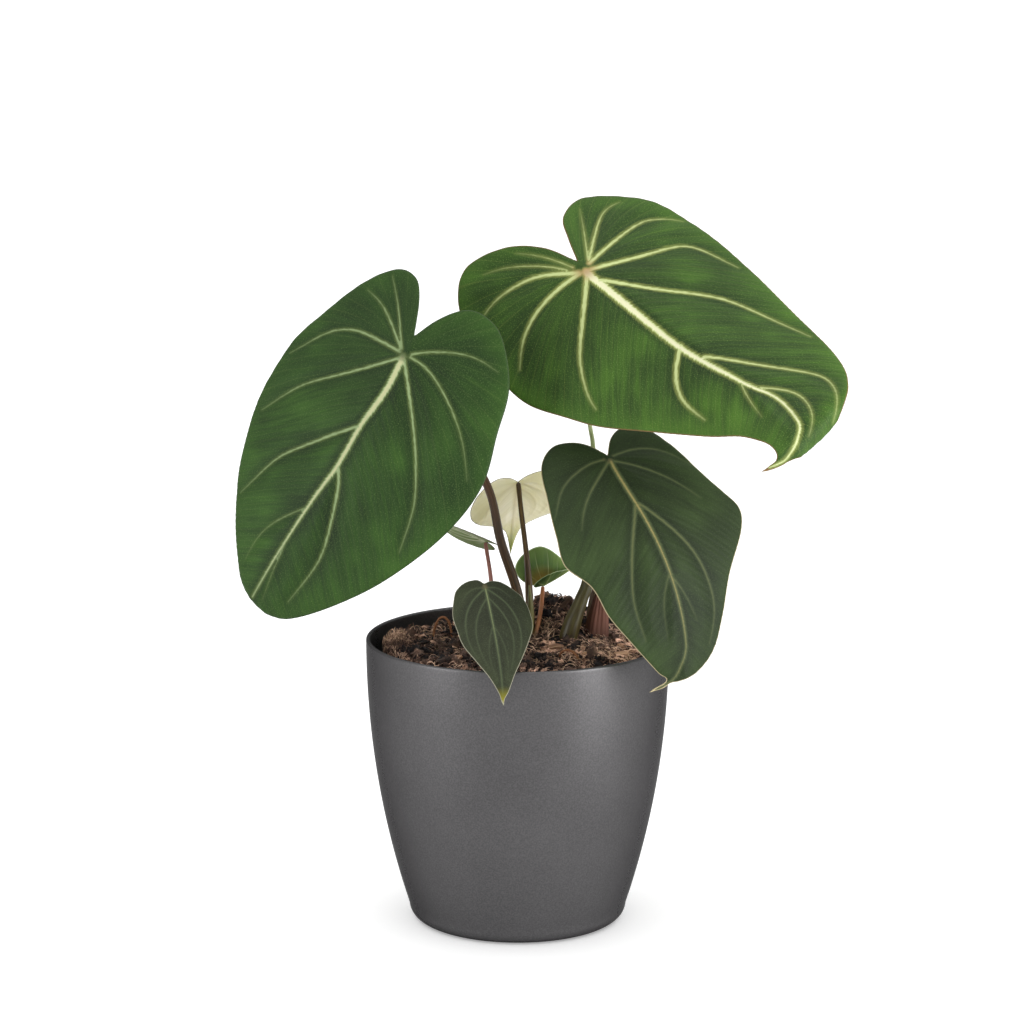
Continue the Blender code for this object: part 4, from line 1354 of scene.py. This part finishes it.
# %% Make the leaves
# Each leaf: its pattern, its look, and how long it is, which sets how far its shades reach.
LEAVES = {
    "top": (TOP_BLADE, TOP_LOOK, 204), "left": (LEFT_BLADE, LEFT_LOOK, 177),
    "right": (RIGHT_BLADE, RIGHT_LOOK, 149), "front": (FRONT_BLADE, FRONT_LOOK, 81),
    "back": (BACK_BLADE, BACK_LOOK, 62), "side": (SIDE_BLADE, SIDE_LOOK, 52),
    "young": (YOUNG_BLADE, YOUNG_LOOK, 22),
}
bends = {}
for name, (blade, look, length) in LEAVES.items():
    skin = velvet_leaf(f"velvet_skin_{name}", look, length)
    slot = "velvet_leaf" if name in ("top", "left", "right") else "small_leaf"
    bends[name] = make_blade(f"blade_{name}", f"leaf_{name}", blade, skin, slot)
print(len(bends), "leaves made")

# %% [markdown]
# ## The stalks
#
# Each leaf hangs on its own petiole, a round stalk that is widest where it leaves the
# mix and narrows to the blade. A curve with a bevel would give a perfect, dead tube.
# Here rings are swept along the route, with faint lengthwise ridges, slow swellings, a
# slightly thicker "knee" under the blade, and a rounded end that sinks into the midrib.

# %% Stalk shapes
PLANTING_DEPTH = 150.0
STALK_SIDES = 20
# How far below the blade's middle each stalk's end stops, so that it sinks into the skin.
JOINT_DEPTHS = {
    "top": 1.2, "left": 1.2, "right": 0.35, "front": 0.9, "back": 0.9, "side": 0.75, "young": 0.9,
}

# Each stalk's route up to its blade, and its radii from the foot to the blade.
PETIOLES = {
    "top": ([(26, 1, PLANTING_DEPTH), (31, 2, 174), (37.5, 3.5, 192), (42, 5, 206), (46.3, 6, 245),
             (44.3, 5, 284), (42.3, 6, 298), (37.3, 7, 340)], (5.7, 5.3, 4.0, 3.5, 2.3, 1.4, 1.3, 1.4, 1.6)),
    "left": ([(6, -3, PLANTING_DEPTH), (1, 2, 192), (-10, -3, 229), (-18, -10, 264), (-41, -26, 308)],
             (3.2, 2.9, 2.7, 2.4, 2.0, 1.8)),
    "right": ([(42, 22, PLANTING_DEPTH), (45, 20, 186), (53, 9, 222), (58, -10, 256)],
              (3.2, 2.9, 2.4, 2.0, 1.7)),
    "front": ([(-5, -3, PLANTING_DEPTH), (-8, -8, 181), (-13, -27, 206)], (1.8, 1.6, 1.3, 1.0)),
    "back": ([(9, 13, PLANTING_DEPTH), (7, 11, 190), (5.5, 9, 215), (2, 15, 244)],
             (2.4, 2.4, 1.7, 1.5, 1.3)),
    "side": ([(-13, 3, PLANTING_DEPTH), (-15, 2, 185), (-16, 2, 206)], (1.5, 1.4, 1.25, 1.0)),
    "young": ([(11.5, -3.5, PLANTING_DEPTH), (10, 2.5, 168), (12.4, 10, 177), (14.2, 19, 186)],
              (1.5, 1.5, 1.3, 1.3, 1.1)),
}


def stalk_mesh(name, route, radii, material, ridges=9, knee=0.12):
    """A closed tapering stalk with ridges, swellings and rounded ends."""
    line = smooth_line([(*place, radius) for place, radius in zip(route, radii)], 1.0)
    line, width = line[:, :3], line[:, 3]
    count = len(line)
    share = np.linspace(0.0, 1.0, count)
    far = np.append(0.0, np.cumsum(np.linalg.norm(np.diff(line, axis=0), axis=1)))
    width *= 1.0 + knee * np.exp(-(((far[-1] - far - 5.0) / 4.0) ** 2))
    width *= 1.0 + 0.035 * roughness_at(line, 17.0, 2.0)
    end_gap = np.minimum(far, far[-1] - far)
    inward = np.clip(1.0 - end_gap / width, 0.0, 1.0)
    width *= np.sqrt(np.clip(1.0 - inward**2, 0.02, 1.0))
    turns = np.arange(STALK_SIDES) * math.tau / STALK_SIDES
    ribbed = 1.0 + 0.022 * np.cos(ridges * turns) + 0.012 * np.cos(2 * turns + 1.0)
    points, straight = sweep(line, width[:, None] * ribbed, STALK_SIDES)
    faces, corners = lattice(count, STALK_SIDES, closed=True)
    along = np.repeat(share, STALK_SIDES)
    return make_piece(name, points, faces, corners, material, straight=straight, along=along)


print(len(PETIOLES), "petioles planned")

# %% [markdown]
# ### Their finish: waxy stalk skin
#
# A petiole's skin is smooth and a little waxy, so it shines more than the leaf: roughness
# near 0.4. Its colour runs along it, from the foot to the blade, and it is drawn in
# lengthwise streaks, because its cells are long and thin. The streaks are noise in the
# straightened stalk, squeezed so that each is about 20 times as long as it is wide. The
# sheaths, the husk and the roots are fibrous too, so they use the same layers further on,
# with their own colours, and all but the new leaf's sheath with less shine.

# %% Stalk material
def fibrous_skin(name, foot, middle, head, pale, roughness=0.42):
    """A streaked skin whose colour runs along the piece; the defaults suit a waxy stalk."""
    surface = {"Roughness": roughness, "IOR": 1.42, "Specular IOR Level": 0.4}
    material, shader = new_material(name, surface)
    straight = add_node(material, "ShaderNodeAttribute", attribute_name="straight").outputs["Vector"]
    along = add_node(material, "ShaderNodeAttribute", attribute_name="along").outputs["Fac"]
    drawn_out = add_node(
        material, "ShaderNodeMapping", {"Vector": straight, "Scale": (1.0, 1.0, 1 / 20)}
    ).outputs["Vector"]
    streak_noise = {"Vector": drawn_out, "Scale": 1 / 0.9, "Detail": 4.0}
    streaks = add_node(material, "ShaderNodeTexNoise", streak_noise)
    mottle = add_node(material, "ShaderNodeTexNoise", {"Vector": straight, "Scale": 1 / 9, "Detail": 3.0})
    wandering = add_node(
        material,
        "ShaderNodeMath",
        {0: mottle.outputs["Fac"], 1: 0.35, 2: along},
        operation="MULTIPLY_ADD",
    )
    coloured = add_node(
        material,
        "ShaderNodeValToRGB",
        {"Fac": wandering.outputs["Value"]},
        stops=[(0.20, foot), (0.50, middle), (0.78, head)],
    )
    streak_share = add_node(
        material,
        "ShaderNodeMapRange",
        {"Value": streaks.outputs["Fac"], "From Min": 0.45, "From Max": 0.75, "To Max": 0.55},
    )
    streaked = add_node(
        material,
        "ShaderNodeMix",
        {FACTOR: streak_share.outputs["Result"], FIRST: coloured.outputs["Color"], SECOND: linear(pale)},
        data_type="RGBA",
    )
    bump = add_node(
        material,
        "ShaderNodeBump",
        {"Strength": 0.35, "Distance": 0.0003, "Height": streaks.outputs["Fac"]},
    )
    fill(material, shader, {"Base Color": streaked.outputs[MIXED], "Normal": bump.outputs["Normal"]})
    return material


# Foot, middle, head and streak colour of each stalk.
STALK_COLOURS = {
    "top": ("#322712", "#3b381b", "#b6bb90", "#565126"),
    "left": ("#3b3822", "#3f2f22", "#4c3220", "#74502f"),
    "right": ("#45402a", "#4a3a2c", "#54392c", "#6b5340"),
    "front": ("#43382a", "#4a3a2c", "#4d4432", "#6b5a44"),
    "back": ("#3c3a22", "#50402a", "#45311f", "#8a6b44"),
    "side": ("#6b423e", "#955752", "#98605a", "#bd8f86"),
    "young": ("#2a2415", "#4a3824", "#a86a48", "#7a6044"),
}
for name, (route, radii) in PETIOLES.items():
    skin = fibrous_skin(f"waxy_stalk_{name}", *STALK_COLOURS[name])
    end = bends[name].underside(JOINT_DEPTHS[name])
    stalk = stalk_mesh(f"stalk_{name}", route + [end], radii, skin)
    settle(stalk, "olive_petiole" if name == "top" else "brown_petiole", f"petiole_{name}")

# %% [markdown]
# ## The shoot
#
# Among the stalks a new leaf is still rolled inside a short green-brown sheath, whose two
# edges overlap along one side. So little of it shows that a sheet isn't needed: it is a
# closed tube, wide at the foot and drawn to a point that leans over, and each of its rings
# bulges a little where the edges overlap.

# %% New leaf spear
# Its route and its radius there: x, y, z and radius.
SPEAR = [(5, 7, PLANTING_DEPTH, 2.2), (7.5, 5, 176, 2.1), (7.5, 4.5, 190, 1.6), (6.8, 4.5, 201, 0.4)]


def make_spear(material):
    line = smooth_line(SPEAR, 0.7)
    line, width = line[:, :3], line[:, 3]
    share = np.linspace(0.0, 1.0, len(line))
    turns = np.arange(STALK_SIDES) * math.tau / STALK_SIDES
    overlap = 1.0 + 0.16 * np.exp(-(((turns - 4.2) / 0.35) ** 2)) + 0.05 * np.cos(3 * turns)
    points, straight = sweep(line, width[:, None] * overlap, STALK_SIDES)
    faces, corners = lattice(len(line), STALK_SIDES, closed=True)
    along = np.repeat(share, STALK_SIDES)
    spear = make_piece("spear_sheath", points, faces, corners, material, straight=straight, along=along)
    settle(spear, "shoot", "new_leaf_spear")


make_spear(fibrous_skin("young_sheath_skin", "#302c19", "#3e3b1d", "#66623a", "#8d8657"))

# %% [markdown]
# ## The papery sheath
#
# A cataphyll is the leaf-like wrapper that covered a shoot. Once the shoot is out it
# dries to brown paper, pleated along its veins, and splits at the top. Here it is a thin
# sheet of pleats beside the thick stalk's foot, with its top edge torn by a noise. It is
# dry cellulose: dull, reddish brown, with paler veins.

# %% Cataphyll
SHEATH_ROWS = 60
SHEATH_COLUMNS = 90
SHEATH_THICKNESS = 0.5
SHEATH_FOOT = (45.5, 8.0, 158.0)
SHEATH_HEIGHT = 40.0
SHEATH_WIDTH = 14.0


def sheath_point(across, up):
    """A place on the pleated sheet: across runs from -0.5 to 0.5, up from 0 to 1."""
    foot_x, foot_y, foot_z = SHEATH_FOOT
    reach = 8.0 - 5.0 * up * up
    pleats = 0.15 * np.cos(across * 34.0 + 1.5 * np.sin(up * 3.0)) + 0.6 * np.sin(across * 9.0 + 2.0 * up)
    x = foot_x + 4.0 * up + 2.0 * across * reach
    y = foot_y + 14.0 * across * across - 2.0 * up + pleats * (0.4 + 0.6 * up)
    z = foot_z + SHEATH_HEIGHT * up - 6.0 * across * across * up
    return np.array([x, y, z])


def make_sheath(material):
    columns = np.linspace(-0.5, 0.5, SHEATH_COLUMNS)
    tear = 1.0 - 0.10 * np.abs([noise.noise(Vector((9.0 * across, 3.0, 0.0))) for across in columns])
    tear -= 0.05 * np.abs([noise.noise(Vector((40.0 * across, 7.0, 0.0))) for across in columns])
    front = [
        sheath_point(across, up * limit)
        for up in np.linspace(0.0, 1.0, SHEATH_ROWS)
        for across, limit in zip(columns, tear)
    ]
    front = np.array(front).reshape(SHEATH_ROWS, SHEATH_COLUMNS, 3)
    across_way = np.gradient(front, axis=1)
    up_way = np.gradient(front, axis=0)
    normals = np.cross(across_way, up_way)
    normals /= np.linalg.norm(normals, axis=2)[:, :, None]
    thickness = SHEATH_THICKNESS * np.linspace(1.0, 0.5, SHEATH_ROWS)[:, None, None]
    # One closed loop per row: along the front from left to right and back along the rear.
    loop = np.concatenate([front, (front - normals * thickness)[:, ::-1]], axis=1)
    points = loop.reshape(-1, 3)
    faces, corners = lattice(SHEATH_ROWS, 2 * SHEATH_COLUMNS, closed=True)
    across_mm = np.tile(np.concatenate([columns, columns[::-1]]) * SHEATH_WIDTH, SHEATH_ROWS)
    up_mm = np.repeat(np.linspace(0.0, SHEATH_HEIGHT, SHEATH_ROWS), 2 * SHEATH_COLUMNS)
    straight = np.column_stack([across_mm, np.zeros_like(across_mm), up_mm])
    along = up_mm / SHEATH_HEIGHT
    sheath = make_piece("dry_sheath", points, faces, corners, material, straight=straight, along=along)
    settle(sheath, "papery_sheath", "cataphyll")


make_sheath(fibrous_skin("dry_papery_sheath", "#39251c", "#4b2e24", "#58362b", "#654336", roughness=0.75))

# %% [markdown]
# ## Husk chips
#
# Coconut husk is cut into short lengths and shredded. A chip is a bundle of parallel
# fibres held by pith, so it is a slab with rounded corners, lengthwise ridges and ragged
# ends. The fibres run along its longest side, and so do the streaks. Five chips are dry. One
# lies on the heap behind the stalks and is made nearly black.

# %% Chips
CHIP_RINGS = 46
CHIP_SIDES = 48
CHIP_LIFT = 0.6
DARK_CHIP = 5  # the one on the heap behind the stalks, made nearly black
# Each chip: its place on the mix, its length, width and height, and its turns in degrees.
CHIPS = [
    ((20, -17), (16, 7, 3.4), (8, -6, 12)),
    ((44, -31), (15, 8, 3.6), (-10, 8, -32)),
    ((58, -27), (17, 7, 3.2), (6, -8, 24)),
    ((63, -6), (12, 8, 4.0), (14, 6, 70)),
    ((28, 27), (13, 6, 3.0), (20, -48, 15)),
    ((-38, -34), (14, 6, 3.0), (6, 5, 150)),
]


def make_chip(number, spot, size, turn, material):
    """A slab of parallel fibres: rounded rectangles swept along its length."""
    length, width, height = size
    seed = 7.0 * number
    along = np.linspace(-0.5, 0.5, CHIP_RINGS)
    turns = np.arange(CHIP_SIDES) * math.tau / CHIP_SIDES
    points, straight = [], []
    for share in along:
        fill_out = (1.0 - (2.0 * abs(share)) ** 5) ** 0.5 if abs(share) < 0.5 else 0.0
        fill_out = 0.25 + 0.75 * fill_out
        for a in turns:
            box_y = math.copysign(abs(math.cos(a)) ** 0.55, math.cos(a)) * width / 2
            box_z = math.copysign(abs(math.sin(a)) ** 0.65, math.sin(a)) * height / 2
            fibre = 0.22 * noise.noise(Vector((share * length / 9.0, box_y * 1.1 + seed, box_z * 1.1)))
            fibre += 0.16 * noise.noise(Vector((share * length / 4.0, box_y * 3.0, box_z * 3.0 + seed)))
            ragged = 1.6 * noise.noise(Vector((seed, box_y * 0.8, box_z * 0.8))) * abs(2 * share) ** 6
            swell = fill_out * (0.88 + fibre)
            x = share * (length - 2.0) + math.copysign(ragged, share)
            points.append((x, box_y * swell, box_z * swell))
            straight.append((box_y, box_z, share * length))
    x, y = spot
    points = np.array(points)
    points[:, 2] += 0.35 * np.sin(points[:, 0] * 0.35 + seed)
    matrix = np.array(Euler([math.radians(angle) for angle in turn]).to_matrix())
    points = points @ matrix.T + (x, y, mix_height(x, y) + CHIP_LIFT)
    faces, corners = lattice(CHIP_RINGS, CHIP_SIDES, closed=True)
    chip = make_piece(
        f"husk_chunk_{number}", points, faces, corners, material,
        straight=straight, along=np.full(len(points), chance.uniform(0.0, 1.0)),
    )
    settle(chip, "husk", f"husk_chip_{number}")


dry_husk = fibrous_skin("dry_coconut_husk", "#5c3f30", "#7d5844", "#a07a60", "#cba587", roughness=0.9)
dark_husk = fibrous_skin("dark_coconut_husk", "#1d1412", "#30211c", "#46312a", "#5d4236", roughness=0.8)
for number, (spot, size, turn) in enumerate(CHIPS, start=1):
    make_chip(number, spot, size, turn, dark_husk if number == DARK_CHIP else dry_husk)

# %% [markdown]
# ## Surface roots
#
# Two feeding roots loop out of the mix. Roots in air are furry: short root hairs hold
# dust, so their skin looks dull and rusty. The tube is knobbly, and a few hundred fine
# hairs stand off it.

# %% Roots
ROOT_RADIUS = 0.9
ROOTS = {
    1: [(-50, 22, 158), (-50, 21, 170), (-46, 19, 178), (-41, 18, 175), (-38, 18, 158)],
    2: [(36, -44, 158), (35, -43, 168), (30, -40, 172), (25, -36, 169), (23, -34, 158)],
}
ROOT_HAIRS = 260  # on each root
ROOT_SIDES = 12
HAIR_SIDES = 4
HAIR_RINGS = 4


def make_root(number, route, material):
    line = smooth_line(route, 0.4)
    width = ROOT_RADIUS * (0.78 + 0.22 * roughness_at(line, 2.2, 9.0 * number))
    knobs = roughness_at(line, 0.9, 4.0 * number)
    points, straight = sweep(line, width + 0.08 * knobs, ROOT_SIDES)
    faces, _ = lattice(len(line), ROOT_SIDES, closed=True)
    all_points, all_straight, all_faces = [points], [straight], list(faces)
    hair_faces, _ = lattice(HAIR_RINGS, HAIR_SIDES, closed=True)
    first = len(points)
    for _ in range(ROOT_HAIRS):
        foot = line[chance.integers(4, len(line) - 4)]
        way = chance.normal(0.0, 1.0, 3)
        way /= np.linalg.norm(way)
        bend = chance.normal(0.0, 0.25, 3)
        steps = np.linspace(0.0, 1.0, HAIR_RINGS)[:, None]
        hair = foot + way * (0.5 + steps * chance.uniform(0.5, 1.1)) + bend * steps**2
        hair_points, hair_straight = sweep(hair, np.linspace(0.07, 0.03, HAIR_RINGS), HAIR_SIDES)
        all_faces += [tuple(first + corner for corner in face) for face in hair_faces]
        first += len(hair_points)
        all_points.append(hair_points)
        all_straight.append(hair_straight)
    all_points = np.concatenate(all_points)
    along = np.full(len(all_points), 0.6)
    root = make_piece(
        f"furry_root_{number}", all_points, all_faces, None, material,
        straight=np.concatenate(all_straight), along=along,
    )
    settle(root, "root", f"surface_root_{number}")


root_skin = fibrous_skin("furry_root_skin", "#4a2e22", "#6d4531", "#82573c", "#a67a55", roughness=0.9)
for number, route in ROOTS.items():
    make_root(number, route, root_skin)
